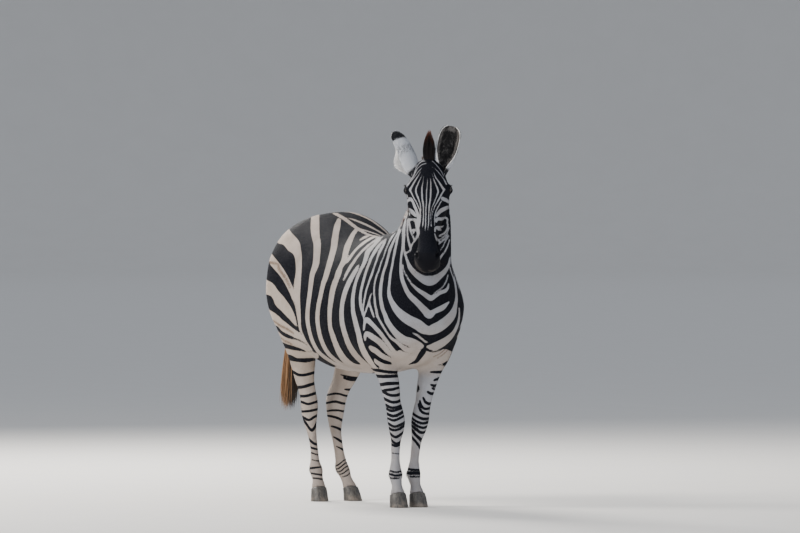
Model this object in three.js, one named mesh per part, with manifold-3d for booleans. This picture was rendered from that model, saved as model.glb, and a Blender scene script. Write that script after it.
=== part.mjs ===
// A plains zebra standing with its head raised and turned to its right, at life size.
// Millimetres. +X points to the chest, +Y to the animal's left, +Z up; the origin is on the ground under its middle.
import * as THREE from 'three';
import { mergeVertices } from 'three/addons/utils/BufferGeometryUtils.js';
import Module from 'manifold-3d';

const wasm = await Module();
wasm.setup();

// ---- driving dimensions -------------------------------------------------------------------------------------------
const GAP = 0.3; // what touching nodes keep between them
const BREAST_X = 500; // the foremost point of the trunk
const RUMP_X = -945; // the rearmost point of the trunk
const BREAST_DOME = 250; // how far back the breast starts to round off
const RUMP_DOME = 370; // how far forward of the buttocks the rump starts to round off
const POLL = new THREE.Vector3(520, -18, 1585); // where the head's axis starts, between the ears
const HEAD_TURN = -26; // degrees, to the animal's right
const HEAD_DROP = 63; // degrees below level
const HEAD_TOP = -38; // along the head's axis
const LIPS = 532; // along the head's axis
const EYE = { along: 137, out: 87, front: 30, radius: 21.5 };
const LIDS = { radius: 23, thick: 6.5, out: 11, droop: 4 };
const NOSTRIL = { along: 466, out: 51, front: 16, length: 17, width: 6.5, depth: 13 };
const MOUTH = { corner: 424, front: -52, depth: 7, width: 160 };
const EAR_ROOT = { along: 8, out: 60, front: -20, length: 227 };
// Which way each ear leans and tilts, and where its cup opens, in degrees from the face towards the ear's own side.
const EAR_POSE = { left: { lean: 12, tilt: 4, turn: 8 }, right: { lean: 27, tilt: -4, turn: 120 } };
const FORE_CUT = 700; // the level where each foreleg is parted from the trunk
const HIND_CUT = 790; // the same for each hind leg
const KNEE_CUT = 404;
const HOCK_CUT = 440;
const CORONET = 60; // the level where each hoof meets its leg, at its middle
const CORONET_SLOPE = 16; // degrees, lower at the heel
const TAIL_CUT = 810; // the level where the tail's tuft starts
const SHOULDER_FROM = 620; // where each foreleg's form starts that is joined into the trunk
const HAUNCH_FROM = 690; // the same for each hind leg
const LEG_SIDES = 14;

// Each row is a cross-section: the place along the part, then the sizes named in the first argument.
const TRUNK = table('x mid up down half peak keel', [
  [-945, 1050, 305, 215, 285, 2.1, 2.2],
  [-800, 1045, 322, 245, 298, 2.1, 2.2],
  [-700, 1040, 322, 280, 299, 2.1, 2.2],
  [-610, 1030, 329, 318, 298, 2.1, 2.2],
  [-517, 1015, 315, 350, 295, 2.1, 2.2],
  [-341, 970, 314, 352, 299, 2.05, 2.2],
  [-230, 945, 317, 333, 301, 2.0, 2.2],
  [-90, 930, 324, 318, 296, 1.9, 2.2],
  [52, 930, 339, 310, 283, 1.75, 2.15],
  [150, 940, 335, 308, 270, 1.7, 2.1],
  [250, 945, 315, 300, 258, 1.7, 2.05],
  [350, 935, 285, 280, 250, 1.8, 2.0],
  [500, 925, 250, 235, 240, 2.0, 2.0],
]);
// Places on each side where the trunk swells or hollows: x, z, how far each way, and how much.
const TRUNK_RELIEF = [
  [170, 1010, 110, 190, 12], // the shoulder blade
  [395, 930, 80, 80, 12], // the point of the shoulder
  [150, 830, 90, 90, 12], // the muscle above the elbow
  [-10, 880, 60, 170, -7], // the hollow behind the shoulder
  [-410, 1090, 70, 110, -12], // the flank
  [-505, 1180, 60, 60, 8], // the hip
  [-700, 1060, 150, 190, 9], // the haunch
  [-500, 830, 90, 70, 6], // the fold in front of the stifle
];
// The neck lies between the line of its crest and the line of its throat.
const NECK = table('step crest_x crest_z throat_x throat_z half lean peak keel', [
  [-1, 30, 1120, 360, 850, 172, 0, 1.9, 2.0],
  [0, 115, 1215, 470, 965, 165, 6, 1.8, 2.0],
  [1, 196, 1298, 496, 1070, 141, 16, 1.75, 2.0],
  [2, 268, 1378, 498, 1165, 119, 26, 1.75, 2.0],
  [3, 336, 1458, 492, 1250, 103, 31, 1.8, 2.0],
  [4, 402, 1532, 492, 1325, 91, 22, 1.9, 2.0],
  [5, 464, 1586, 510, 1395, 80, -4, 2.0, 2.0],
  [6, 515, 1606, 545, 1450, 68, -18, 2.0, 2.0],
]);
const HEAD = table('along mid up down half peak keel', [
  [-38, -14, 56, 74, 58, 2.0, 2.0],
  [0, -10, 66, 84, 68, 2.1, 2.0],
  [50, 0, 73, 118, 80, 2.2, 2.0],
  [100, 10, 73, 144, 89, 2.3, 1.9],
  [137, 14, 69, 156, 92, 2.4, 1.9],
  [175, 11, 65, 156, 88, 2.4, 1.95],
  [215, 4, 63, 142, 79, 2.3, 2.0],
  [260, -5, 61, 118, 67, 2.2, 2.1],
  [310, -14, 60, 91, 56, 2.2, 2.2],
  [360, -20, 59, 74, 50, 2.2, 2.2],
  [410, -23, 58, 68, 51, 2.2, 2.2],
  [450, -24, 56, 65, 56, 2.2, 2.3],
  [490, -25, 53, 60, 58, 2.2, 2.3],
  [532, -28, 48, 52, 52, 2.2, 2.3],
]);
// turn is how far the leg's own fore-and-aft line points outwards, in degrees.
const FORELEG = table('z x y fore aft half turn', [
  [1010, 270, 120, 95, 120, 66, 0],
  [930, 258, 142, 112, 140, 80, 0],
  [850, 246, 155, 112, 142, 84, 0],
  [780, 237, 157, 96, 130, 80, 0],
  [720, 241, 149, 80, 108, 71, 0],
  [680, 247, 138, 69, 90, 63, 0],
  [636, 250, 117, 64, 74, 54, 0],
  [590, 251, 100, 60, 61, 48, 0],
  [540, 248, 88, 53, 51, 43, 2],
  [496, 247, 79, 46, 44, 39, 3],
  [450, 248, 68, 43, 43, 41, 4],
  [404, 248, 61, 44, 42, 43, 4],
  [357, 243, 57, 38, 39, 36, 4],
  [311, 230, 54, 29, 33, 25, 4],
  [264, 220, 52, 26, 32, 21.5, 4],
  [218, 214, 50, 26, 33, 21.5, 4],
  [180, 210, 49, 31, 38, 28, 5],
  [152, 210, 48, 36, 42, 33.5, 5],
  [128, 217, 49, 31, 34, 28.5, 6],
  [100, 229, 50, 28, 30, 26, 6],
  [76, 237, 51, 34, 34, 33, 6],
  [60, 242, 52, 39, 36, 37, 6],
  [0, 255, 53, 53, 43, 43, 6],
]);
const HINDLEG = table('z x y fore aft half turn', [
  [1130, -640, 105, 165, 210, 92, 0],
  [1040, -655, 138, 192, 232, 112, 0],
  [960, -662, 152, 204, 230, 114, 2],
  [880, -662, 158, 200, 212, 108, 4],
  [800, -663, 152, 174, 178, 93, 8],
  [750, -666, 145, 142, 152, 82, 10],
  [720, -671, 138, 122, 136, 75, 11],
  [676, -680, 130, 98, 114, 64, 12],
  [620, -693, 118, 78, 95, 54, 13],
  [565, -709, 104, 64, 84, 46, 14],
  [515, -722, 85, 53, 82, 41, 14],
  [470, -730, 73, 48, 74, 42, 14],
  [423, -737, 68, 45, 55, 41, 14],
  [376, -737, 66, 39, 44, 34, 14],
  [328, -725, 63, 32, 37, 25, 14],
  [281, -706, 63, 29, 34, 20.5, 14],
  [234, -689, 64, 29, 34, 20, 14],
  [187, -674, 67, 32, 37, 24, 14],
  [145, -657, 69, 38, 42, 33.5, 14],
  [120, -640, 72, 33, 35, 29, 14],
  [98, -622, 75, 31, 33, 28, 14],
  [76, -606, 79, 35, 35, 33, 14],
  [60, -597, 81, 39, 36, 36, 14],
  [0, -579, 85, 52, 43, 42, 14],
]);
const TAIL = table('z x y fore aft half', [
  [1260, -830, 0, 44, 44, 38],
  [1210, -895, 0, 42, 44, 35],
  [1150, -948, -3, 36, 36, 30],
  [1080, -978, -10, 29, 29, 25],
  [980, -992, -24, 23, 23, 21],
  [880, -994, -38, 19, 19, 18],
  [780, -990, -50, 16, 16, 15],
]);
// How far each lower leg stands ahead of (+) or behind (-) the line of its table, at the ground.
const STANCE = { foreleg_right: 8, foreleg_left: -8, hindleg_right: 0, hindleg_left: 0 };

// ---- helpers ------------------------------------------------------------------------------------------------------
// A table of sections becomes a function of the place along the part, with a smooth curve through each column.
function table(names, rows) {
  const keys = names.split(' ').slice(1);
  const sorted = [...rows].sort((a, b) => a[0] - b[0]);
  const slope = (i, k) => (sorted[i + 1][k] - sorted[i][k]) / (sorted[i + 1][0] - sorted[i][0]);
  const tangent = (i, k) => {
    if (i === 0) return slope(0, k);
    if (i === sorted.length - 1) return slope(i - 1, k);
    const before = sorted[i][0] - sorted[i - 1][0];
    const after = sorted[i + 1][0] - sorted[i][0];
    return (slope(i - 1, k) * after + slope(i, k) * before) / (before + after);
  };
  const at = (place) => {
    const u = THREE.MathUtils.clamp(place, sorted[0][0], sorted.at(-1)[0]);
    let i = 0;
    while (i < sorted.length - 2 && u > sorted[i + 1][0]) i += 1;
    const span = sorted[i + 1][0] - sorted[i][0];
    const t = (u - sorted[i][0]) / span;
    const section = {};
    keys.forEach((key, column) => {
      const k = column + 1;
      section[key] =
        sorted[i][k] * (1 + 2 * t) * (1 - t) ** 2 +
        sorted[i + 1][k] * (3 - 2 * t) * t ** 2 +
        span * (tangent(i, k) * t * (1 - t) ** 2 + tangent(i + 1, k) * (t - 1) * t ** 2);
    });
    return section;
  };
  at.places = sorted.map((row) => row[0]);
  return at;
}

// The share of a section's size that is left at a place inside a rounded end.
function dome(place, start, end, power = 2) {
  const t = (place - start) / (end - start);
  return t <= 0 ? 1 : Math.max(0, 1 - t ** power) ** (1 / power);
}

// A point of a section's outline: [to its side, towards its top], with its own roundness above and below.
function outline(section, angle, grow = 0) {
  const c = Math.cos(angle);
  const s = Math.sin(angle);
  const power = 2 / (s >= 0 ? section.peak ?? 2 : section.keel ?? 2);
  const reach = (s >= 0 ? section.up : section.down) + grow;
  return [
    (section.half + grow) * Math.sign(c) * Math.abs(c) ** power,
    reach * Math.sign(s) * Math.abs(s) ** power,
  ];
}

// A closed surface through rings of points, each end closed by a fan to its own middle point.
function skinOf(rings, tips) {
  const sides = rings[0].length;
  const points = [...rings.flat(), ...tips];
  const faces = [];
  const [first, last] = [rings.length * sides, rings.length * sides + 1];
  for (let j = 0; j < sides; j += 1) {
    const k = (j + 1) % sides;
    for (let i = 0; i + 1 < rings.length; i += 1) {
      const [a, b, c, d] = [i * sides + j, i * sides + k, (i + 1) * sides + j, (i + 1) * sides + k];
      faces.push(a, b, d, a, d, c);
    }
    const end = (rings.length - 1) * sides;
    faces.push(first, k, j, last, end + j, end + k);
  }
  return solidOf(points, faces);
}

// Points and faces as a solid, with the faces turned to point outwards.
function solidOf(points, faces) {
  let volume = 0;
  for (let i = 0; i < faces.length; i += 3) {
    const [a, b, c] = [points[faces[i]], points[faces[i + 1]], points[faces[i + 2]]];
    volume += a.dot(new THREE.Vector3().crossVectors(b, c));
  }
  const order = volume > 0 ? [0, 1, 2] : [0, 2, 1];
  const triVerts = new Uint32Array(faces.map((_, n) => faces[n - (n % 3) + order[n % 3]]));
  const vertProperties = new Float32Array(points.flatMap((p) => [p.x, p.y, p.z]));
  return new wasm.Manifold(new wasm.Mesh({ numProp: 3, vertProperties, triVerts }));
}

// A three.js geometry, placed by a matrix, as a solid.
function solidFrom(geometry, matrix) {
  const bare = geometry.clone().applyMatrix4(matrix);
  bare.deleteAttribute('normal');
  bare.deleteAttribute('uv');
  const merged = mergeVertices(bare, 1e-3);
  const position = merged.getAttribute('position');
  const points = Array.from({ length: position.count }, (_, i) => new THREE.Vector3().fromBufferAttribute(position, i));
  return solidOf(points, [...merged.index.array]);
}

// The largest closed piece of a solid.
function largest(solid) {
  return solid.decompose().reduce((best, piece) => (piece.volume() > best.volume() ? piece : best));
}

const above = (solid, level) => solid.trimByPlane([0, 0, 1], level + GAP / 2);
const below = (solid, level) => solid.trimByPlane([0, 0, -1], -(level - GAP / 2));
const radians = THREE.MathUtils.degToRad;
const angles = (sides) => Array.from({ length: sides }, (_, j) => (2 * Math.PI * (j + 0.5)) / sides);
// Places from one end to the other, closer together towards both ends.
const eased = (from, to, count) =>
  Array.from({ length: count }, (_, i) => from + ((to - from) * (1 - Math.cos((Math.PI * (i + 1)) / (count + 1)))) / 2);

// A small seeded source of variation, from -1 to 1.
function varied(seed) {
  let state = seed;
  return () => {
    state = (state * 1103515245 + 12345) % 2147483648;
    return state / 1073741824 - 1;
  };
}

// ---- trunk, neck and head -----------------------------------------------------------------------------------------
function trunkPoint(x, angle, grow = 0) {
  const section = TRUNK(x);
  const left = dome(x, BREAST_X - BREAST_DOME, BREAST_X, 2.1) * dome(x, RUMP_X + RUMP_DOME, RUMP_X, 2.35);
  const [side, rise] = outline(section, angle, grow);
  const point = new THREE.Vector3(x, side * left, section.mid + rise * left);
  const swell = TRUNK_RELIEF.reduce(
    (sum, [at, z, dx, dz, height]) => sum + height * Math.exp(-(((x - at) / dx) ** 2) - ((point.z - z) / dz) ** 2),
    0,
  );
  point.y *= 1 + (swell * left) / section.half;
  return point;
}

function trunk(grow = 0) {
  const sides = angles(26);
  const rings = eased(RUMP_X - grow, BREAST_X + grow, 27).map((x) => {
    const inside = RUMP_X + ((x - RUMP_X + grow) * (BREAST_X - RUMP_X)) / (BREAST_X - RUMP_X + 2 * grow);
    return sides.map((angle) => trunkPoint(inside, angle, grow).setX(x));
  });
  const tips = [
    new THREE.Vector3(RUMP_X - grow, 0, TRUNK(RUMP_X).mid),
    new THREE.Vector3(BREAST_X + grow, 0, TRUNK(BREAST_X).mid),
  ];
  return skinOf(rings, tips);
}

// A point of the neck: a step along it, out to its side, and from its middle towards its crest (1) or throat (-1).
function neckPoint(step, side, rise) {
  const n = NECK(step);
  const crest = new THREE.Vector3(n.crest_x, n.lean, n.crest_z);
  const throat = new THREE.Vector3(n.throat_x, n.lean, n.throat_z);
  return throat.lerp(crest, 0.5 + 0.5 * rise).add(new THREE.Vector3(0, side, 0));
}

function neckDepth(step) {
  const n = NECK(step);
  return Math.hypot(n.crest_x - n.throat_x, n.crest_z - n.throat_z) / 2;
}

function neck(grow = 0) {
  const steps = Array.from({ length: 11 }, (_, i) => -1 + (7 * i) / 10);
  const rings = steps.map((step) =>
    angles(22).map((angle) => {
      const n = NECK(step);
      const depth = neckDepth(step);
      const [side, rise] = outline({ half: n.half, up: depth, down: depth, peak: n.peak, keel: n.keel }, angle, grow);
      return neckPoint(step, side, rise / depth);
    }),
  );
  return skinOf(rings, [neckPoint(steps[0], 0, 0), neckPoint(steps.at(-1), 0, 0)]);
}

const headAlong = new THREE.Vector3(
  Math.cos(radians(HEAD_TURN)) * Math.cos(radians(HEAD_DROP)),
  Math.sin(radians(HEAD_TURN)) * Math.cos(radians(HEAD_DROP)),
  -Math.sin(radians(HEAD_DROP)),
);
const headLeft = new THREE.Vector3(-Math.sin(radians(HEAD_TURN)), Math.cos(radians(HEAD_TURN)), 0);
const headFront = new THREE.Vector3().crossVectors(headLeft, headAlong).negate();

// A point in the head's own frame: along the face, out to its left, and out of its front.
function headPoint(along, side, front) {
  return POLL.clone()
    .addScaledVector(headAlong, along)
    .addScaledVector(headLeft, side)
    .addScaledVector(headFront, front);
}

// What the brow, cheekbone, nostril, lips and chin add to the plain section, at a place along and round the head.
function relief(along, angle) {
  const bump = (u, a, du, da, height) => {
    const turn = Math.abs(angle) - radians(a);
    return height * Math.exp(-(((along - u) / du) ** 2) - (turn / radians(da)) ** 2);
  };
  return (
    bump(118, 62, 30, 24, 13) + // the brow over the eye
    bump(185, 90, 48, 13, 7) + // the cheekbone below the eye
    bump(185, 138, 55, 22, 8) + // the round of the jaw muscle
    bump(466, 62, 24, 26, 8) - // the wing of the nostril
    bump(385, 84, 36, 30, 4) + // the pinch behind the nostrils
    bump(496, 104, 22, 20, 5) + // the upper lip
    bump(470, 176, 26, 26, 9) - // the chin
    bump(425, 180, 22, 40, 5)
  );
}

function headSurface(along, angle, grow = 0) {
  const section = HEAD(along);
  const left = dome(along, HEAD_TOP + 60, HEAD_TOP) * dome(along, LIPS - 56, LIPS);
  const [side, rise] = outline(section, Math.PI / 2 - angle, grow);
  const out = 1 + relief(along, angle) / Math.hypot(side, rise);
  return headPoint(along, side * left * out, section.mid + rise * left * out);
}

function head(grow = 0) {
  const places = [-36, -29, -12, 20, 52, 80, 102, 120, 137, 155, 180, 210, 240, 270, 305, 345, 385, 418, 440, 455];
  places.push(468, 482, 496, 509, 520, 528);
  const sides = 24;
  const round = Array.from({ length: sides }, (_, j) => -Math.PI + (2 * Math.PI * (j + 0.5)) / sides);
  const rings = places.map((along) => round.map((angle) => headSurface(along, angle, grow)));
  const tips = [
    headPoint(HEAD_TOP - grow, 0, HEAD(HEAD_TOP).mid),
    headPoint(LIPS + grow, 0, HEAD(LIPS).mid),
  ];
  return skinOf(rings, tips);
}

// A matrix that puts a shape's own x, y and z along three directions, at a point.
function placed(point, x, y, z) {
  return new THREE.Matrix4().makeBasis(x, y, z).setPosition(point);
}

function eyeMatrix(side) {
  const out = headLeft.clone().multiplyScalar(side).addScaledVector(headFront, 0.42).normalize();
  const along = headAlong.clone().addScaledVector(out, -headAlong.dot(out)).normalize();
  const across = new THREE.Vector3().crossVectors(out, along);
  return placed(headPoint(EYE.along, side * EYE.out, EYE.front), along, across, out);
}

function eyeball(side, grow = 0) {
  return solidFrom(new THREE.SphereGeometry(EYE.radius + grow, 16, 10), eyeMatrix(side));
}

// The lids stand round the eye as an almond ring, thicker above.
function lids(side) {
  const ring = new THREE.TorusGeometry(LIDS.radius, LIDS.thick, 7, 16);
  const position = ring.getAttribute('position');
  for (let i = 0; i < position.count; i += 1) {
    const [along, across, out] = [position.getX(i), position.getY(i), position.getZ(i)];
    const droop = -LIDS.droop * (across / LIDS.radius) ** 2;
    position.setXYZ(i, along * (along < 0 ? 0.72 : 0.62), across * 1.12, out + LIDS.out + droop);
  }
  return solidFrom(ring, eyeMatrix(side));
}

function nostril(side) {
  const slot = new THREE.SphereGeometry(1, 14, 10);
  const across = headLeft.clone().multiplyScalar(side);
  const lean = headAlong.clone().multiplyScalar(0.86).addScaledVector(headFront, 0.5).normalize();
  const out = across.clone().addScaledVector(headFront, 0.45).normalize();
  const width = new THREE.Vector3().crossVectors(out, lean).normalize();
  slot.scale(NOSTRIL.length, NOSTRIL.width, NOSTRIL.depth);
  return solidFrom(slot, placed(headPoint(NOSTRIL.along, side * NOSTRIL.out, NOSTRIL.front), lean, width, out));
}

// The mouth is a narrow groove round the muzzle between the lips, rising a little at its corners.
function mouthLine() {
  const shape = new THREE.Shape();
  shape.moveTo(MOUTH.corner, -1);
  shape.quadraticCurveTo(480, -8, LIPS + 20, -4);
  shape.lineTo(LIPS + 20, -0.6);
  shape.quadraticCurveTo(480, -4.4, MOUTH.corner, 1);
  const slab = new THREE.ExtrudeGeometry(shape, { depth: MOUTH.width, bevelEnabled: false, curveSegments: 6 });
  slab.translate(0, 0, -MOUTH.width / 2);
  const groove = solidFrom(slab, placed(headPoint(0, 0, MOUTH.front), headAlong, headFront, headLeft));
  return groove.subtract(mouthCore());
}

// What the groove leaves whole inside the muzzle.
function mouthCore() {
  const places = [400, 430, 460, 485, 505, 518];
  const rings = places.map((along) =>
    angles(20).map((angle) => {
      const section = HEAD(along);
      const left = dome(along, LIPS - 60, LIPS - MOUTH.depth);
      const [side, rise] = outline(section, angle, -MOUTH.depth);
      return headPoint(along, side * left, section.mid + rise * left);
    }),
  );
  return skinOf(rings, [headPoint(399, 0, HEAD(399).mid), headPoint(521, 0, HEAD(521).mid)]);
}

// ---- ears ---------------------------------------------------------------------------------------------------------
// An ear is a leaf rolled into a cup: nearly a tube at its root, open along its length, and pointed at its tip.
const EAR = table('along radius spread wall', [
  [-0.12, 17, 150, 7],
  [0, 21, 150, 7],
  [0.12, 29, 138, 6],
  [0.3, 41, 114, 5],
  [0.5, 48, 95, 4.5],
  [0.7, 47, 84, 4],
  [0.87, 37, 74, 3.5],
  [1, 17, 56, 3],
]);

function ear(side, { lean, tilt, turn }) {
  const up = headAlong.clone().negate().applyAxisAngle(headFront, radians(-side * lean));
  up.addScaledVector(headFront, Math.tan(radians(tilt))).normalize();
  const open = headFront.clone().addScaledVector(up, -headFront.dot(up)).normalize();
  open.applyAxisAngle(up, radians(side * turn));
  const across = new THREE.Vector3().crossVectors(up, open);
  const root = headPoint(EAR_ROOT.along, side * EAR_ROOT.out, EAR_ROOT.front);
  const steps = 8;
  const columns = 9;
  const rings = [];
  for (let i = 0; i <= steps; i += 1) {
    const t = -0.12 + (1.12 * i) / steps;
    const section = EAR(t);
    const curl = -9 * Math.sin(Math.PI * Math.max(0, t));
    const middle = root.clone().addScaledVector(up, EAR_ROOT.length * t).addScaledVector(open, curl);
    const at = (angle, radius) =>
      middle
        .clone()
        .addScaledVector(open, section.radius - radius * Math.cos(angle) - section.radius * 0.55)
        .addScaledVector(across, radius * Math.sin(angle));
    const sweep = Array.from({ length: columns }, (_, j) => radians(section.spread) * ((2 * j) / (columns - 1) - 1));
    const outer = sweep.map((angle) => at(angle, section.radius));
    const inner = sweep.map((angle) => at(angle, section.radius - section.wall)).reverse();
    rings.push([...outer, ...inner]);
  }
  return stripCaps(rings, columns);
}

// A shell whose two ends are closed by strips between its outer and inner edges, as a fan would cross the cup.
function stripCaps(rings, columns) {
  const sides = rings[0].length;
  const points = rings.flat();
  const faces = [];
  for (let i = 0; i + 1 < rings.length; i += 1)
    for (let j = 0; j < sides; j += 1) {
      const k = (j + 1) % sides;
      const [a, b, c, d] = [i * sides + j, i * sides + k, (i + 1) * sides + j, (i + 1) * sides + k];
      faces.push(a, b, d, a, d, c);
    }
  for (const [start, flip] of [
    [0, false],
    [(rings.length - 1) * sides, true],
  ])
    for (let j = 0; j + 1 < columns; j += 1) {
      const [a, b] = [start + j, start + j + 1];
      const [c, d] = [start + sides - 1 - j, start + sides - 2 - j];
      faces.push(...(flip ? [a, b, d, a, d, c] : [a, d, b, a, c, d]));
    }
  return solidOf(points, faces);
}

// ---- legs and tail ------------------------------------------------------------------------------------------------
// Level sections from the ground up; side is +1 for the left leg. The lower leg leans by its stance.
function limbPoint(s, z, side, stance, across, along) {
  const lead = stance * Math.max(0, 1 - z / KNEE_CUT);
  const turn = radians(s.turn ?? 0);
  return new THREE.Vector3(
    s.x + lead + along * Math.cos(turn) - side * across * Math.sin(turn),
    side * (s.y + along * Math.sin(turn)) + across * Math.cos(turn),
    z,
  );
}

function limb(sections, side, stance, sides, { from = -Infinity, grow = 0 } = {}) {
  const places = sections.places.filter((z) => z >= from);
  const between = (z, next) => (next - z > 44 ? [z, (z + next) / 2] : [z]);
  const levels = places.flatMap((z, i) => (i + 1 < places.length ? between(z, places[i + 1]) : [z]));
  const rings = levels.map((z) => {
    const s = sections(z);
    return angles(sides).map((angle) => {
      const [across, along] = outline({ half: s.half, up: s.fore, down: s.aft }, angle, grow);
      return limbPoint(s, z, side, stance, across, along);
    });
  });
  const tip = (z) => limbPoint(sections(z), z, side, stance, 0, 0);
  return skinOf(rings, [tip(levels[0]), tip(levels.at(-1))]);
}

// A plane through the coronet, lower at the heel, as [normal, distance].
function coronet(sections, side, stance) {
  const normal = new THREE.Vector3(-Math.sin(radians(CORONET_SLOPE)), 0, Math.cos(radians(CORONET_SLOPE)));
  return [normal, normal.dot(limbPoint(sections(CORONET), CORONET, side, stance, 0, 0))];
}

function legNodes(kind, sections, side, cut, joint, body) {
  const name = (part) => kind + '_' + part + '_' + (side > 0 ? 'left' : 'right');
  const stance = STANCE[kind + '_' + (side > 0 ? 'left' : 'right')];
  const whole = limb(sections, side, stance, LEG_SIDES);
  const [normal, level] = coronet(sections, side, stance);
  const hoof = whole.trimByPlane(normal.clone().negate().toArray(), -(level - GAP / 2));
  const flesh = whole.trimByPlane(normal.toArray(), level + GAP / 2);
  return {
    [name('upper')]: largest(above(below(flesh, cut), joint).subtract(body)),
    [name('lower')]: largest(below(flesh, joint)),
    [(kind === 'foreleg' ? 'fore_hoof_' : 'hind_hoof_') + (side > 0 ? 'left' : 'right')]: hoof,
  };
}

// ---- locks of mane, forelock and tail -----------------------------------------------------------------------------
// A flat lock, broad for most of its length and then drawn to a tip. It bends from the way it leaves to the way it ends.
const LOCK_TAPER = [
  [0, 0.7],
  [0.35, 1],
  [0.72, 0.82],
  [0.93, 0.34],
];

function lock(root, leave, end, length, width, thick, face) {
  const point = root.clone();
  let reached = 0;
  const rings = LOCK_TAPER.map(([t, taper]) => {
    const heading = leave.clone().lerp(end, (t + reached) / 2).normalize();
    point.addScaledVector(heading, length * (t - reached));
    reached = t;
    const broad = face.clone().addScaledVector(heading, -face.dot(heading)).normalize();
    const flat = new THREE.Vector3().crossVectors(heading, broad);
    return [
      [1, 0],
      [0, 1],
      [-1, 0],
      [0, -1],
    ].map(([across, through]) =>
      point
        .clone()
        .addScaledVector(broad, (across * width * taper) / 2)
        .addScaledVector(flat, (through * thick * Math.sqrt(taper)) / 2),
    );
  });
  const tip = point.clone().addScaledVector(end.clone().normalize(), length * (1 - reached));
  return skinOf(rings, [root.clone(), tip]);
}

// The crest of the neck, from the withers (0) to the poll (1): a point on it and the way that hair stands there.
function crest(t) {
  const step = 0.35 + 4.75 * t;
  const point = neckPoint(step, 0, 1);
  const along = neckPoint(step + 0.05, 0, 1).sub(neckPoint(step - 0.05, 0, 1)).normalize();
  const stands = new THREE.Vector3(-along.z, 0, along.x).addScaledVector(along, -0.1 + 0.5 * t * t).normalize();
  return { point, stands };
}

const MANE_HEIGHT = table('t height', [
  [0, 42],
  [0.12, 74],
  [0.35, 98],
  [0.75, 106],
  [1, 78],
]);

function mane() {
  const vary = varied(7);
  const pieces = [];
  const count = 16;
  for (let i = 0; i < count; i += 1)
    for (const row of [-1, 1]) {
      const t = (i + 0.25 + 0.25 * row) / (count - 0.5);
      const { point, stands } = crest(t);
      const ahead = crest(Math.min(1, t + 0.02)).point.sub(crest(Math.max(0, t - 0.02)).point).normalize();
      const height = MANE_HEIGHT(t).height * (1 + 0.04 * vary());
      const outwards = new THREE.Vector3(0, row * (0.1 + 0.04 * vary()), 0);
      const leave = stands.clone().add(outwards);
      const end = stands.clone().addScaledVector(ahead, -0.3 + 0.12 * vary()).addScaledVector(outwards, 0.4);
      const root = point.clone().addScaledVector(stands, -16).add(new THREE.Vector3(0, row * 4, 0));
      pieces.push(lock(root, leave, end, height + 16, 58, 15, ahead));
    }
  return wasm.Manifold.union([maneCore(0.5), ...pieces]);
}

// The body of the mane, to a share of its full height, thinner towards its edge.
function maneCore(share) {
  const rings = Array.from({ length: 15 }, (_, i) => {
    const { point, stands } = crest(i / 14);
    const height = share * MANE_HEIGHT(i / 14).height;
    const at = (side, rise) => point.clone().addScaledVector(stands, rise).add(new THREE.Vector3(0, side, 0));
    return [at(13, -18), at(10, height * 0.55), at(4, height), at(-4, height), at(-10, height * 0.55), at(-13, -18)];
  });
  const end = (t) => crest(t).point.addScaledVector(crest(t).stands, -4);
  return skinOf(rings, [end(0), end(1)]);
}

// The forelock stands up between the ears like a brush, narrow at its root, and closes to a tip.
const FORELOCK = { length: 186, lean: 0.1, back: -42 };

function forelock() {
  const vary = varied(11);
  const pieces = [];
  for (let i = 0; i < 5; i += 1)
    for (const row of i % 2 ? [-1, 1] : [-1, 0, 1]) {
      const t = i / 4;
      const root = headPoint(-16 + 14 * t * t, row * 8, -34 + 62 * t);
      const stands = headAlong.clone().negate().addScaledVector(headFront, -0.2 + 0.22 * t);
      const outwards = headLeft.clone().multiplyScalar(row * 0.17 + 0.03 * vary());
      const leave = stands.clone().add(outwards);
      const end = leave.clone().addScaledVector(headFront, FORELOCK.lean).addScaledVector(outwards, -1.3);
      const length = FORELOCK.length * (1 - 0.12 * t * t - 0.06 * Math.abs(row) + 0.03 * vary());
      pieces.push(lock(root.addScaledVector(stands, -8), leave, end, length, 36, 15, row ? headFront : headLeft));
    }
  return wasm.Manifold.union([forelockCore(0.5), ...pieces]);
}

// The body of the forelock, to a share of its full length.
function forelockCore(share) {
  const up = headAlong.clone().negate();
  const widths = [9, 14, 21, 23, 18, 8];
  const rings = widths.map((half, i) => {
    const rise = -14 + (FORELOCK.length * share * i) / (widths.length - 1);
    return angles(10).map((angle) =>
      headPoint(0, 0, -6)
        .addScaledVector(up, rise)
        .addScaledVector(headLeft, half * Math.cos(angle))
        .addScaledVector(headFront, (half + 16) * Math.sin(angle) + FORELOCK.lean * rise * 0.6),
    );
  });
  const end = (rise) => headPoint(0, 0, -6 + FORELOCK.lean * rise * 0.6).addScaledVector(up, rise);
  return skinOf(rings, [end(-18), end(FORELOCK.length * share - 10)]);
}

// The tuft hangs from the end of the dock in long locks that close to a point.
const TUFT = { length: 388, hang: new THREE.Vector3(0.02, -0.06, -1).normalize() };

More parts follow.
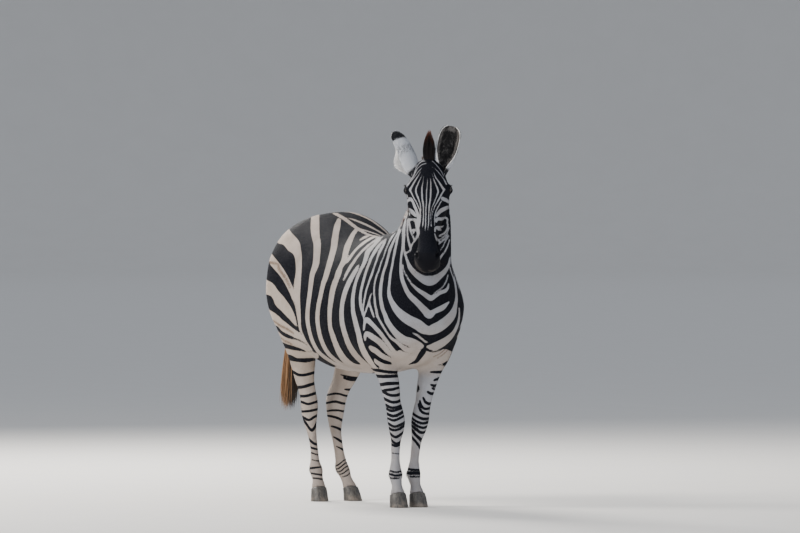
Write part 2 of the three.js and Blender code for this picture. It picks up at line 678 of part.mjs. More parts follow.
function tuft() {
  const vary = varied(23);
  const root = TAIL(TAIL_CUT);
  const pieces = [];
  for (const [ring, count, radius, share] of [
    [0, 4, 5, 1],
    [1, 6, 10, 0.9],
    [2, 6, 13, 0.7],
  ])
    for (let i = 0; i < count; i += 1) {
      const angle = (2 * Math.PI * (i + 0.5 * ring)) / count + 0.1 * vary();
      const out = new THREE.Vector3(Math.cos(angle), Math.sin(angle), 0);
      const start = new THREE.Vector3(root.x, root.y, TAIL_CUT - 8 - 14 * ring).addScaledVector(out, radius);
      const leave = TUFT.hang.clone().addScaledVector(out, 0.09 + 0.04 * ring);
      const end = TUFT.hang.clone().addScaledVector(out, -0.06 + 0.02 * vary());
      const round = new THREE.Vector3().crossVectors(out, TUFT.hang);
      const length = TUFT.length * share * (1 + 0.05 * vary());
      pieces.push(lock(start, leave, end, length, 32, 12, round));
    }
  return below(wasm.Manifold.union([tuftCore(0.5), ...pieces]), TAIL_CUT);
}

// The body of the tuft, to a share of its full length.
function tuftCore(share) {
  const root = TAIL(TAIL_CUT);
  const top = new THREE.Vector3(root.x, root.y, TAIL_CUT);
  const radii = [15, 24, 29, 27, 20, 11, 5];
  const rings = radii.map((radius, i) => {
    const drop = (TUFT.length * share * i) / (radii.length - 1);
    return angles(12).map((angle) =>
      top
        .clone()
        .addScaledVector(TUFT.hang, drop)
        .add(new THREE.Vector3(Math.cos(angle) * radius, Math.sin(angle) * radius, 0)),
    );
  });
  const middle = (drop) => top.clone().addScaledVector(TUFT.hang, drop);
  return skinOf(rings, [middle(-2), middle(TUFT.length * share + 10)]);
}

// ---- the animal ---------------------------------------------------------------------------------------------------
const trunkGrown = trunk(GAP);
const neckGrown = neck(GAP);
const headGrown = head(GAP);
const nodes = {};

const shoulders = [1, -1].map((side) => above(limb(FORELEG, side, 0, LEG_SIDES, { from: SHOULDER_FROM }), FORE_CUT));
const haunches = [1, -1].map((side) => above(limb(HINDLEG, side, 0, LEG_SIDES, { from: HAUNCH_FROM }), HIND_CUT));
const body = wasm.Manifold.union([trunk(), ...shoulders, ...haunches]);
for (const side of [1, -1]) {
  Object.assign(nodes, legNodes('foreleg', FORELEG, side, FORE_CUT, KNEE_CUT, trunkGrown));
  Object.assign(nodes, legNodes('hindleg', HINDLEG, side, HIND_CUT, HOCK_CUT, trunkGrown));
}
const shouldersGrown = [1, -1].map((side) => limb(FORELEG, side, 0, LEG_SIDES, { from: SHOULDER_FROM, grow: GAP }));
nodes.torso = largest(body);
nodes.neck = largest(neck().subtract(wasm.Manifold.union([trunkGrown, headGrown, ...shouldersGrown])));

const sockets = [1, -1].map((side) => eyeball(side, GAP));
const features = wasm.Manifold.union([head(), lids(1), lids(-1)]);
nodes.head = largest(features.subtract(wasm.Manifold.union([...sockets, nostril(1), nostril(-1), mouthLine()])));
nodes.eye_left = eyeball(1);
nodes.eye_right = eyeball(-1);
nodes.ear_left = largest(ear(1, EAR_POSE.left).subtract(headGrown));
nodes.ear_right = largest(ear(-1, EAR_POSE.right).subtract(headGrown));

// The mane ends and the forelock starts at a plane across the poll.
const parting = headFront.dot(headPoint(0, 0, FORELOCK.back));
const maneEnd = mane().trimByPlane(headFront.clone().negate().toArray(), GAP / 2 - parting);
const forelockStart = forelock().trimByPlane(headFront.toArray(), parting + GAP / 2);
nodes.mane = largest(maneEnd.subtract(wasm.Manifold.union([neckGrown, headGrown, trunkGrown])));
nodes.forelock = largest(forelockStart.subtract(wasm.Manifold.union([headGrown, neckGrown])));
const dock = limb(TAIL, 1, 0, 12);
nodes.tail_dock = largest(above(dock, TAIL_CUT).subtract(trunkGrown));
nodes.tail_tuft = largest(tuft());

// ---- materials and the exported group -----------------------------------------------------------------------------
const coat = { color: 0x8f8880, roughness: 0.75, metalness: 0 };
const hair = { color: 0x2c211b, roughness: 0.7, metalness: 0 };
const horn = { color: 0x3a332d, roughness: 0.55, metalness: 0 };
const eyes = { color: 0x140c08, roughness: 0.08, metalness: 0 };
const finish = (name) => {
  if (name.startsWith('eye')) return eyes;
  if (name.includes('hoof')) return horn;
  return ['mane', 'forelock', 'tail_tuft'].includes(name) ? hair : coat;
};

const zebra = new THREE.Group();
for (const [name, solid] of Object.entries(nodes)) {
  const made = solid.getMesh();
  const geometry = new THREE.BufferGeometry();
  geometry.setAttribute('position', new THREE.BufferAttribute(made.vertProperties, 3));
  geometry.setIndex(new THREE.BufferAttribute(made.triVerts, 1));
  geometry.computeVertexNormals();
  const mesh = new THREE.Mesh(geometry, new THREE.MeshStandardMaterial(finish(name)));
  mesh.name = name;
  zebra.add(mesh);
}

// The whole is moved so that the origin lies on the ground under its middle.
const box = new THREE.Box3().setFromObject(zebra);
zebra.position.copy(box.getCenter(new THREE.Vector3()).setZ(box.min.z)).negate();

const model = new THREE.Group();
model.add(zebra);

export default model;
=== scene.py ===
import math

import bpy
import numpy as np
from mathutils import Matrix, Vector


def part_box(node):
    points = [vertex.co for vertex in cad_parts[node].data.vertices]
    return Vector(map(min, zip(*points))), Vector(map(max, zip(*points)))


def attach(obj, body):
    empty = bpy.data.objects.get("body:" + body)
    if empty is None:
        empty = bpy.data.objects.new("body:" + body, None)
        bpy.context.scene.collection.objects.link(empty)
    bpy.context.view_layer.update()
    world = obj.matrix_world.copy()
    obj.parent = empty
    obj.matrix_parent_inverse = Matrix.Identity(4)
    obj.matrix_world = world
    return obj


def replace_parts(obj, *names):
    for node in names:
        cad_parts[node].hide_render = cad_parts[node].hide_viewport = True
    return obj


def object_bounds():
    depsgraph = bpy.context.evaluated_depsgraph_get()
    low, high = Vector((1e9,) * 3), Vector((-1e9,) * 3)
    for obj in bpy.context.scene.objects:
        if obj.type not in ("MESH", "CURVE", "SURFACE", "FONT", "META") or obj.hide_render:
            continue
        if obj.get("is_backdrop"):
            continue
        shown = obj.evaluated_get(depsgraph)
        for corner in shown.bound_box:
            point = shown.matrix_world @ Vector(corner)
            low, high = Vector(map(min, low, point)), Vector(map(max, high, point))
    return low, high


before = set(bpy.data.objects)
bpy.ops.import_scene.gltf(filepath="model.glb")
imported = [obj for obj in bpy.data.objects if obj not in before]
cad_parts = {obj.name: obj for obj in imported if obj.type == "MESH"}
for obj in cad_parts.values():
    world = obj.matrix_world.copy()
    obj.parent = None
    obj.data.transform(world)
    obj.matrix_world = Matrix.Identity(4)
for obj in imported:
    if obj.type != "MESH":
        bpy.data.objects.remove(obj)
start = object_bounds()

# ---- sizes, in metres; degrees where a name says so --------------------------------------------------
BREAST_X = .5  # the foremost point of the trunk
RUMP_X = -.945  # the rearmost point of the trunk
BREAST_DOME = .25  # how far back the breast starts to round off
RUMP_DOME = .37
POLL = np.array((.52, -.018, 1.585))  # where the head's axis starts, between the ears
HEAD_TURN = math.radians(-26)
HEAD_DROP = math.radians(63)
HEAD_TOP = -.038  # along the head's axis
LIPS = .532
EYE = dict(along=.137, out=.087, front=.03, radius=.0215, ahead=.42)
HEAD_DOME = .06, .056  # how far from its upper and its lower end the head starts to round off
NECK_DOME = .04  # over what length the neck's ends round off, and the leg's and the tail's below
LEG_DOME = .05
TAIL_DOME = .03
TAIL_TOP = 1.25  # the height where the dock goes into the rump
KNEE = .404
CORONET = .06
CORONET_SLOPE = math.radians(16)
TAIL_CUT = .81
COAT = .003  # how far the skin lies inside the coat's surface
# the heights over which each leg's marks pass into the body's
LEG_TOP = dict(fore=(.64, .662), hind=(.625, .645))
MIDDLE_X = -.22  # where the trunk's coat changes from its front to its rear pieces
LEGS_X = -.2  # the forelegs are in front of this, the hindlegs behind it
WORD = {1: "left", -1: "right"}
CROUP_TILT = .11  # how much higher the left haunch stands, over its distance from the middle
# how far forward each hoof is set, the animal's right being -1
STANCE = {("fore", -1): .008, ("fore", 1): -.008, ("hind", 1): 0, ("hind", -1): 0}


class Table:
    """Sizes along a part, with a smooth curve through each column."""

    def __init__(self, names, rows):
        self.keys = names.split()[1:]
        self.rows = np.array(sorted(rows), float)
        span = np.diff(self.rows[:, 0])[:, None]
        slope = np.diff(self.rows[:, 1:], axis=0) / span
        inner = (slope[:-1] * span[1:] + slope[1:] * span[:-1]) / (span[1:] + span[:-1])
        self.tangent = np.vstack([slope[:1], inner, slope[-1:]])

    def __call__(self, place):
        at, value = self.rows[:, 0], self.rows[:, 1:]
        u = np.clip(place, at[0], at[-1])
        i = np.clip(np.searchsorted(at, u) - 1, 0, len(at) - 2)
        span = (at[i + 1] - at[i])[..., None]
        t = (u - at[i])[..., None] / span
        flat = value[i] * (1 + 2 * t) * (1 - t) ** 2 + value[i + 1] * (3 - 2 * t) * t**2
        bend = self.tangent[i] * t * (1 - t) ** 2 + self.tangent[i + 1] * (t - 1) * t**2
        return dict(zip(self.keys, np.moveaxis(flat + span * bend, -1, 0)))


TRUNK = Table("x mid up down half peak keel", [
    (-.945, 1.05, .305, .215, .285, 2.1, 2.2),
    (-.8, 1.045, .322, .245, .298, 2.4, 2.2),
    (-.7, 1.04, .322, .28, .299, 2.4, 2.2),
    (-.61, 1.03, .329, .318, .298, 2.4, 2.2),
    (-.517, 1.015, .326, .35, .295, 2.4, 2.2),
    (-.341, .97, .322, .352, .299, 2.2, 2.2),
    (-.23, .945, .321, .333, .301, 2, 2.2),
    (-.09, .93, .324, .318, .296, 1.9, 2.2),
    (.052, .93, .339, .31, .283, 1.75, 2.15),
    (.15, .94, .335, .308, .27, 1.7, 2.1),
    (.25, .945, .315, .3, .258, 1.7, 2.05),
    (.35, .935, .285, .28, .25, 1.8, 2),
    (.5, .925, .25, .235, .24, 2, 2),
])
NECK = Table("step crest_x crest_z throat_x throat_z half lean peak keel", [
    (-1, .03, 1.12, .36, .85, .172, 0, 1.9, 2),
    (0, .115, 1.215, .47, .965, .165, .006, 1.8, 2),
    (1, .196, 1.298, .496, 1.07, .137, .022, 1.75, 2),
    (2, .268, 1.378, .498, 1.165, .112, .036, 1.75, 2),
    (3, .336, 1.458, .492, 1.25, .096, .041, 1.8, 2),
    (4, .402, 1.532, .492, 1.325, .087, .029, 1.9, 2),
    (5, .464, 1.586, .51, 1.395, .08, -.004, 2, 2),
    (6, .515, 1.606, .545, 1.45, .068, -.018, 2, 2),
])
HEAD = Table("along mid up down half peak keel", [
    (-.038, -.014, .056, .074, .058, 2, 2),
    (0, -.01, .066, .084, .068, 2.1, 2),
    (.05, 0, .073, .118, .08, 2.2, 2),
    (.1, .01, .073, .144, .089, 2.3, 1.9),
    (.137, .014, .069, .156, .092, 2.4, 1.9),
    (.175, .011, .065, .156, .088, 2.4, 1.95),
    (.215, .004, .063, .142, .079, 2.3, 2),
    (.26, -.005, .061, .118, .067, 2.2, 2.1),
    (.31, -.014, .06, .091, .056, 2.2, 2.2),
    (.36, -.02, .059, .074, .05, 2.2, 2.2),
    (.41, -.023, .058, .068, .051, 2.2, 2.2),
    (.45, -.024, .056, .065, .056, 2.2, 2.3),
    (.49, -.025, .053, .06, .058, 2.2, 2.3),
    (.532, -.028, .048, .052, .052, 2.2, 2.3),
])
FORELEG = Table("z x y fore aft half turn", [
    (1.01, .27, .12, .095, .12, .066, 0),
    (.93, .258, .142, .112, .14, .08, 0),
    (.85, .246, .155, .112, .142, .084, 0),
    (.78, .237, .157, .096, .13, .08, 0),
    (.72, .241, .149, .08, .108, .071, 0),
    (.68, .247, .138, .069, .09, .063, 0),
    (.636, .25, .117, .064, .074, .054, 0),
    (.59, .251, .1, .06, .061, .048, 0),
    (.54, .248, .088, .053, .051, .043, 2),
    (.496, .247, .079, .046, .044, .039, 3),
    (.45, .248, .068, .043, .043, .041, 4),
    (.404, .248, .061, .044, .042, .043, 4),
    (.357, .243, .057, .038, .039, .036, 4),
    (.311, .23, .054, .029, .033, .025, 4),
    (.264, .22, .052, .026, .032, .0215, 4),
    (.218, .214, .05, .026, .033, .0215, 4),
    (.18, .21, .049, .031, .038, .028, 5),
    (.152, .21, .048, .036, .042, .0335, 5),
    (.128, .217, .049, .031, .034, .0285, 6),
    (.1, .229, .05, .028, .03, .026, 6),
    (.076, .237, .051, .034, .034, .033, 6),
    (.06, .242, .052, .039, .036, .037, 6),
    (0, .255, .053, .053, .043, .043, 6),
])
HINDLEG = Table("z x y fore aft half turn", [
    (1.13, -.64, .105, .165, .21, .092, 0),
    (1.04, -.655, .138, .192, .232, .112, 0),
    (.96, -.662, .152, .204, .23, .114, 2),
    (.88, -.662, .158, .2, .212, .108, 4),
    (.8, -.663, .152, .174, .178, .093, 8),
    (.75, -.666, .145, .142, .152, .082, 10),
    (.72, -.671, .138, .122, .136, .075, 11),
    (.676, -.68, .13, .098, .114, .064, 12),
    (.62, -.693, .118, .078, .095, .054, 13),
    (.565, -.709, .104, .064, .084, .046, 14),
    (.515, -.722, .085, .053, .082, .041, 14),
    (.47, -.73, .073, .048, .074, .042, 14),
    (.423, -.737, .068, .045, .055, .041, 14),
    (.376, -.737, .066, .039, .044, .034, 14),
    (.328, -.725, .063, .032, .037, .025, 14),
    (.281, -.706, .063, .029, .034, .0205, 14),
    (.234, -.689, .064, .029, .034, .02, 14),
    (.187, -.674, .067, .032, .037, .024, 14),
    (.145, -.657, .069, .038, .042, .0335, 14),
    (.12, -.64, .072, .033, .035, .029, 14),
    (.098, -.622, .075, .031, .033, .028, 14),
    (.076, -.606, .079, .035, .035, .033, 14),
    (.06, -.597, .081, .039, .036, .036, 14),
    (0, -.579, .085, .052, .043, .042, 14),
])
TAIL = Table("z x y fore aft half", [
    (1.26, -.83, 0, .044, .044, .038),
    (1.21, -.895, 0, .042, .044, .035),
    (1.15, -.948, -.003, .036, .036, .03),
    (1.08, -.978, -.01, .029, .029, .025),
    (.98, -.992, -.024, .023, .023, .021),
    (.88, -.994, -.038, .019, .019, .018),
    (.78, -.99, -.05, .016, .016, .015),
])
EAR = Table("along radius spread wall", [
    (-.12, .026, 150, .007),
    (0, .034, 140, .007),
    (.12, .043, 124, .006),
    (.3, .05, 106, .005),
    (.5, .052, 93, .0045),
    (.7, .052, 86, .004),
    (.87, .043, 80, .0035),
    (.94, .031, 74, .003),
    (.98, .018, 68, .003),
    (1, .008, 60, .003),
])
MANE_HEIGHT = Table("t height", [
    (0, .04),
    (.12, .064),
    (.35, .08),
    (.75, .084),
    (.92, .07),
    (1, .04),
])

# Places on each side where the trunk swells or hollows: x, z, how far each way, and how much.
TRUNK_RELIEF = [
    (.17, 1.01, .11, .19, .012),  # the shoulder blade
    (.395, .93, .08, .08, .012),  # the point of the shoulder
    (.15, .83, .09, .09, .012),  # the muscle above the elbow
    (-.01, .88, .06, .17, -.007),  # the hollow behind the shoulder
    (-.41, 1.09, .07, .11, -.012),  # the flank
    (-.505, 1.18, .06, .06, .008),  # the hip
    (-.7, 1.06, .15, .19, .009),  # the haunch
    (-.5, .83, .09, .07, .006),  # the fold in front of the stifle
]


def soft(value, low, high):
    """Goes smoothly from 0 to 1 as the value goes from low to high."""
    t = np.clip((value - low) / (high - low), 0, 1)
    return t * t * (3 - 2 * t)


# ---- the body's form -----------------------------------------------------------------------------------
def bump(*terms):
    """A soft swelling: each term is how far a point is off its middle, over how far it spreads."""
    return np.exp(-sum(term**2 for term in terms))


def oval(side, rise, half, up, down, peak=2.0, keel=2.0, ends=()):
    """How far points lie outside a section, measured out from its middle.
    Each end is how far a point is past the place where the part starts to round off, over what length, and
    with what power."""
    above = rise >= 0
    power = np.where(above, peak, keel)
    share = (np.abs(side) / half) ** power + (np.abs(rise) / np.where(above, up, down)) ** power
    share = share ** (1 / power)
    length = side**2 + rise**2 + 1e-8
    for past, over, roundness in ends:
        past = np.maximum(past, 0)
        share = (share**roundness + (past / over) ** roundness) ** (1 / roundness)
        length = length + past**2
    return np.sqrt(length) * (1 - 1 / np.maximum(share, 1e-3))


def join(a, b, reach):
    """Two distances as one form, with a fillet in the crease between them."""
    near = np.maximum(reach - np.abs(a - b), 0)
    return np.minimum(a, b) - near**2 / (4 * reach)


def carve(a, b, reach):
    """The first form with the second one taken out of it."""
    return -join(-a, b, reach)


def trunk(p):
    x, y, z = p.T
    z = z - CROUP_TILT * y * soft(-x, .25, .55)
    s = TRUNK(x)
    swell = sum(h * bump((x - at) / dx, (z - level) / dz) for at, level, dx, dz, h in TRUNK_RELIEF)
    breast = x - (BREAST_X - BREAST_DOME), BREAST_DOME, 2.1
    rump = RUMP_X + RUMP_DOME - x, RUMP_DOME, 2.35
    side = y / (1 + swell / s["half"])
    return oval(side, z - s["mid"], s["half"], s["up"], s["down"], s["peak"], s["keel"], (breast, rump))


def neck_place(x, z):
    """The step along the neck whose section passes through each point, and how far beyond the ends it is."""
    low, high = np.full(x.shape, -1.0), np.full(x.shape, 6.0)
    for _ in range(15):
        step = (low + high) / 2
        n = NECK(step)
        across_x, across_z = n["crest_x"] - n["throat_x"], n["crest_z"] - n["throat_z"]
        ahead = across_z * (x - n["throat_x"]) - across_x * (z - n["throat_z"])
        low, high = np.where(ahead > 0, step, low), np.where(ahead > 0, high, step)
    return step, np.abs(ahead) / np.hypot(across_x, across_z)


def neck(p):
    x, y, z = p.T
    step, past = neck_place(x, z)
    n = NECK(step)
    deep_x, deep_z = n["crest_x"] - n["throat_x"], n["crest_z"] - n["throat_z"]
    deep = np.hypot(deep_x, deep_z)
    mid_x, mid_z = (n["crest_x"] + n["throat_x"]) / 2, (n["crest_z"] + n["throat_z"]) / 2
    rise = ((x - mid_x) * deep_x + (z - mid_z) * deep_z) / deep
    end = past, NECK_DOME, 2
    return oval(y - n["lean"], rise, n["half"], deep / 2, deep / 2, n["peak"], n["keel"], [end])


ALONG = np.array((
    math.cos(HEAD_TURN) * math.cos(HEAD_DROP),
    math.sin(HEAD_TURN) * math.cos(HEAD_DROP),
    -math.sin(HEAD_DROP),
))
LEFT = np.array((-math.sin(HEAD_TURN), math.cos(HEAD_TURN), 0))
FRONT = np.cross(ALONG, LEFT)


def head_point(along, side, front):
    return POLL + along * ALONG + side * LEFT + front * FRONT


def spot(place, side):
    """Where one of a pair of places of the head is: an eye, a nostril or an ear's root."""
    return head_point(place["along"], side * place["out"], place["front"])


def head_frame(p):
    """Along the face, out to its left, and out of its front."""
    q = p - POLL
    return q @ ALONG, q @ LEFT, q @ FRONT


# What the bones, lips and nostrils add to the plain head: along and round it (degrees from its front), how
# far each way, and how much.
HEAD_RELIEF = [
    (.118, 62, .03, 24, .013),  # the brow over the eye
    (.185, 90, .048, 13, .007),  # the cheekbone below the eye
    (.2, 125, .07, 34, .017),  # the round of the jaw muscle
    (.466, 62, .024, 26, .008),  # the wing of the nostril
    (.385, 84, .036, 30, -.004),  # the pinch behind the nostrils
    (.496, 104, .022, 20, .005),  # the upper lip
    (.47, 176, .026, 26, .009),  # the chin
    (.425, 180, .022, 40, -.005),
]
# Finer forms at places in the head's own frame: along, out to each side, front, how far each way, and how
# much.
HEAD_FORMS = [
    (.3, .05, -.012, .07, .012, .012, .0035),  # the crest of the cheekbone
    (.24, .052, -.03, .05, .03, .018, -.003),  # the hollow under it
    (.37, .03, .045, .06, .012, .02, .0025),  # the edge of the nose bone
    (.175, .085, .006, .016, .02, .008, -.003),  # the fold under the eye
    (.1, .08, .045, .014, .02, .01, -.0035),  # the hollow over the eye
    (.492, .034, .03, .018, .014, .02, .003),  # the pad beside the nostril
]
MOUTH = dict(corner=.43, opens=.012, front=-.0565, rise=-.006, middle=.47, half=.05, width=.0032, depth=.0055)


def head(p):
    along, side, front = head_frame(p)
    s = HEAD(along)
    top = HEAD_TOP + HEAD_DOME[0] - along, HEAD_DOME[0], 2
    lips = along - (LIPS - HEAD_DOME[1]), HEAD_DOME[1], 2
    rise = front - s["mid"]
    distance = oval(side, rise, s["half"], s["up"], s["down"], s["peak"], s["keel"], (top, lips))
    side = np.abs(side)
    turn = np.degrees(np.arctan2(side, rise))
    for at, angle, du, da, height in HEAD_RELIEF:
        distance = distance - height * bump((along - at) / du, (turn - angle) / da)
    for at, out, level, du, ds, df, height in HEAD_FORMS:
        distance = distance - height * bump((along - at) / du, (side - out) / ds, (front - level) / df)
    opens = np.clip((along - MOUTH["corner"]) / MOUTH["opens"], 0, 1)
    return distance + opens * MOUTH["depth"] * bump(off_lips(along, front) / MOUTH["width"])


def off_lips(along, front):
    """How far in front of the line between the lips a place is."""
    return front - MOUTH["front"] - MOUTH["rise"] * (1 - ((along - MOUTH["middle"]) / MOUTH["half"]) ** 2)


def eye_axes(side):
    """An eye's middle, the long and the short way of its opening, and outwards."""
    out = side * LEFT + EYE["ahead"] * FRONT
    out = out / np.linalg.norm(out)
    down = ALONG - ALONG @ out * out
    down = down / np.linalg.norm(down)
    fore = side * np.cross(down, out)
    turn = LID["turn"]
    long, short = down * math.cos(turn) + fore * math.sin(turn), fore * math.cos(turn) - down * math.sin(turn)
    return spot(EYE, side), long, short, out


LID = dict(thick=.0035, long=.0195, high=.0118, turn=math.radians(24), pocket=.004, edge=.0022, join=.014)
LID_RIM = .002, .0025  # how high the rim stands, and how far out from the opening
LID_CREASE = .0018, .0105  # how deep the crease is, and how far out
LID_SOFT = .0035  # how far rim and crease spread


def eye_opening(long, short):
    """Below zero inside the almond between the lids."""
    a = long / LID["long"]
    b = (short - .0012 * (1 - a**2)) / LID["high"]
    return (np.sqrt(a**2 + b**2) * (1 + .2 * a**2 * (1 - np.abs(b))) - 1) * LID["high"]


def eyelids(p, flesh):
    """The round of the closed lids over each eye, with a rim along their edges and a crease round them."""
    for side in (1, -1):
        middle, long, short, _ = eye_axes(side)
        near = np.linalg.norm(p - middle, axis=1) < .06
        q = p[near] - middle
        opening = eye_opening(q @ long, q @ short)
        rim, crease = (high * bump((opening - out) / LID_SOFT) for high, out in (LID_RIM, LID_CREASE))
        rim = rim - crease
        ball = np.linalg.norm(q, axis=1) - EYE["radius"] - LID["thick"] - rim
        flesh[near] = join(flesh[near], ball, LID["join"])
    return flesh


def open_eyes(p):
    """The skin between the lids drawn in behind the eyeball."""
    for side in (1, -1):
        middle, long, short, out = eye_axes(side)
        q = p - middle
        radius = np.linalg.norm(q, axis=1)
        opening = eye_opening(q @ long, q @ short)
        share = np.clip(-opening / LID["edge"], 0, 1) * ((radius < .035) & (q @ out > 0))
        share = share * share * (3 - 2 * share)
        p = p - q * (share * (1 - (EYE["radius"] - LID["pocket"]) / radius))[:, None]
    return p


NOSTRIL = dict(along=.463, out=.05, front=.017, length=.02, width=.0075, depth=.015, bend=.006, rim=.003)


def nostrils(p, flesh):
    for side in (1, -1):
        middle = spot(NOSTRIL, side)
        near = np.linalg.norm(p - middle, axis=1) < .05
        long = .86 * ALONG + .5 * FRONT
        long = long / np.linalg.norm(long)
        out = side * LEFT + .45 * FRONT
        out = out - out @ long * long
        out = out / np.linalg.norm(out)
        q = p[near] - middle
        u, w, o = q @ long, q @ np.cross(out, long) * side, q @ out
        w = w - NOSTRIL["bend"] * (u / NOSTRIL["length"]) ** 2
        u, w, o = u / NOSTRIL["length"], w / NOSTRIL["width"], o / NOSTRIL["depth"]
        slot = (np.sqrt(u**2 + w**2 + o**2) - 1) * NOSTRIL["width"]
        rim = NOSTRIL["rim"] * bump((slot - .003) / .005)
        flesh[near] = carve(flesh[near] - rim, slot, .004)
    return flesh


def leg(sections, side, lead):
    def form(p):
        along, across, s = leg_frame(sections, side, lead, p)
        past = p[:, 2] - sections.rows[-1, 0]
        distance = oval(across, along, s["half"], s["fore"], s["aft"], ends=[(past, LEG_DOME, 2)])
        normal, level = coronet(sections, side, lead)
        return np.maximum(distance, level - p @ normal)

    return form


def leg_frame(sections, side, lead, p):
    """Forwards and outwards in a leg's own level section, and the section."""
    x, y, z = p.T
    s = sections(z)
    turn = np.radians(s["turn"])
    dx = x - s["x"] - lead * np.maximum(0, 1 - z / KNEE)
    dy = side * y - s["y"]
    return dx * np.cos(turn) + dy * np.sin(turn), dy * np.cos(turn) - dx * np.sin(turn), s


def coronet(sections, side, lead):
    """The plane where the hoof starts, lower at the heel: its normal and its distance."""
    normal = np.array((-math.sin(CORONET_SLOPE), 0, math.cos(CORONET_SLOPE)))
    s = sections(np.array(CORONET))
    middle = np.array((s["x"] + lead * (1 - CORONET / KNEE), side * s["y"], CORONET))
    return normal, normal @ middle


def dock(p):
    x, y, z = p.T
    s = TAIL(z)
    ends = [(z - TAIL_TOP, TAIL_DOME, 2), (TAIL_CUT - z, TAIL_DOME, 2)]
    return oval(y - s["y"], x - s["x"], s["half"], s["fore"], s["aft"], ends=ends)


# Each part of the flesh: its form, its box, and the fillet where it joins those before it.
PARTS = [
    (trunk, (-.96, -.33, .58), (.52, .33, 1.4), .01),
    (neck, (-.02, -.2, .8), (.72, .2, 1.7), .07),
    (head, (.42, -.32, 1.02), (.82, .12, 1.68), .035),
    (dock, (-1.04, -.1, .75), (-.78, .06, 1.3), .05),
]
LEG_SECTIONS = {"fore": FORELEG, "hind": HINDLEG}
PARTS += [
    (leg(LEG_SECTIONS[kind], side, STANCE[kind, side]), (back, min(side * near, side * far), .03),
     (front, max(side * near, side * far), top), reach)
    for kind, back, front, near, far, top, reach in (
        ("fore", .08, .42, .01, .24, 1.08, .05),
        ("hind", -.92, -.4, .0, .29, 1.2, .06),
    )
    for side in (1, -1)
]
MARGIN = .05  # how far outside its box a part still counts


def flesh(p):
    """How far points lie outside the animal's skin, before its eyes and nostrils; below zero inside it."""
    distance = np.full(len(p), 1.0)
    for form, low, high, reach in PARTS:
        near = np.all((p > np.array(low) - MARGIN) & (p < np.array(high) + MARGIN), axis=1)
        distance[near] = join(distance[near], form(p[near]), reach)
    return distance + COAT


def skin(p):
    return eyelids(p, nostrils(p, flesh(p)))


# ---- a mesh of any form ----------------------------------------------------------------------------------
def grid_surface(form, low, high, step):
    """Points and four-sided faces where a form's distance crosses zero, one point to each cell of a grid."""
    axes = [np.arange(a, b + step, step) for a, b in zip(low, high)]
    shape = tuple(len(axis) for axis in axes)
    corners = np.stack(np.meshgrid(*axes, indexing="ij"), -1)
    value = form(corners.reshape(-1, 3)).reshape(shape)
    inside = value < 0
    cells = tuple(n - 1 for n in shape)
    total, count = np.zeros(cells + (3,)), np.zeros(cells)
    quads = []
    offsets = [(0, 0), (1, 0), (1, 1), (0, 1)]
    for axis in range(3):
        others = [(axis + 1) % 3, (axis + 2) % 3]
        first = [slice(None)] * 3
        second = [slice(None)] * 3
        first[axis], second[axis] = slice(0, -1), slice(1, None)
        a, b = value[tuple(first)], value[tuple(second)]
        crosses = inside[tuple(first)] != inside[tuple(second)]
        share = np.where(crosses, a / np.where(a == b, 1, a - b), 0)
        point = corners[tuple(first)].copy()
        point[..., axis] += share * step
        for offset in offsets:
            part_cells, part_edges = [slice(None)] * 3, [slice(None)] * 3
            for other, shift in zip(others, offset):
                part_edges[other] = slice(shift, cells[other] + shift)
            found = crosses[tuple(part_edges)]
            total[tuple(part_cells)] += np.where(found[..., None], point[tuple(part_edges)], 0)
            count[tuple(part_cells)] += found
        where = np.argwhere(crosses)
        where = where[np.all([(where[:, o] > 0) & (where[:, o] < cells[o]) for o in others], axis=0)]
        ring = []
        for offset in offsets:
            cell = where.copy()
            for other, shift in zip(others, offset):
                cell[:, other] -= 1 - shift
            ring.append(np.ravel_multi_index(cell.T, cells))
        ring = np.stack(ring, 1)
        outward = inside[tuple(first)][tuple(where.T)]
        quads.append(np.where(outward[:, None], ring, ring[:, ::-1]))
    used = np.flatnonzero(count.ravel() > 0)
    index = np.zeros(count.size, int)
    index[used] = np.arange(len(used))
    points = total.reshape(-1, 3)[used] / count.ravel()[used][:, None]
    return points, index[np.concatenate(quads)]


def triangles(points, quads):
    """Each four-sided face as two triangles, cut along its shorter diagonal."""
    a, b, c, d = quads.T
    short = np.linalg.norm(points[a] - points[c], axis=1) < np.linalg.norm(points[b] - points[d], axis=1)
    one = np.where(short[:, None], np.stack((a, b, c), 1), np.stack((a, b, d), 1))
    two = np.where(short[:, None], np.stack((a, c, d), 1), np.stack((b, c, d), 1))
    return np.concatenate((one, two))


def slope_of(form, p, reach=.0008):
    """The way out of a form at each point, and how steeply its distance grows."""
    corners = np.array([(1, 1, 1), (1, -1, -1), (-1, 1, -1), (-1, -1, 1)]) * reach
    return sum(form(p + corner)[:, None] * corner for corner in corners) / (4 * reach**2)


def settle(form, p, rounds=2, most=.006):
    """Points moved onto a form's surface."""
    for _ in range(rounds):
        slope = slope_of(form, p)
        push = -form(p)[:, None] * slope / np.maximum((slope**2).sum(1), .05)[:, None]
        size = np.linalg.norm(push, axis=1)[:, None]
        p = p + push * np.minimum(1, most / np.maximum(size, 1e-9))
    return p


def edges_of(faces):
    """Each edge once, and which one lies along each side of each face."""
    sides = np.stack((faces, np.roll(faces, -1, 1)), -1).reshape(-1, 2)
    sides.sort(axis=1)
    key = sides[:, 0] * (sides.max() + 1) + sides[:, 1]
    _, first, index = np.unique(key, return_index=True, return_inverse=True)
    return sides[first], index.reshape(faces.shape)


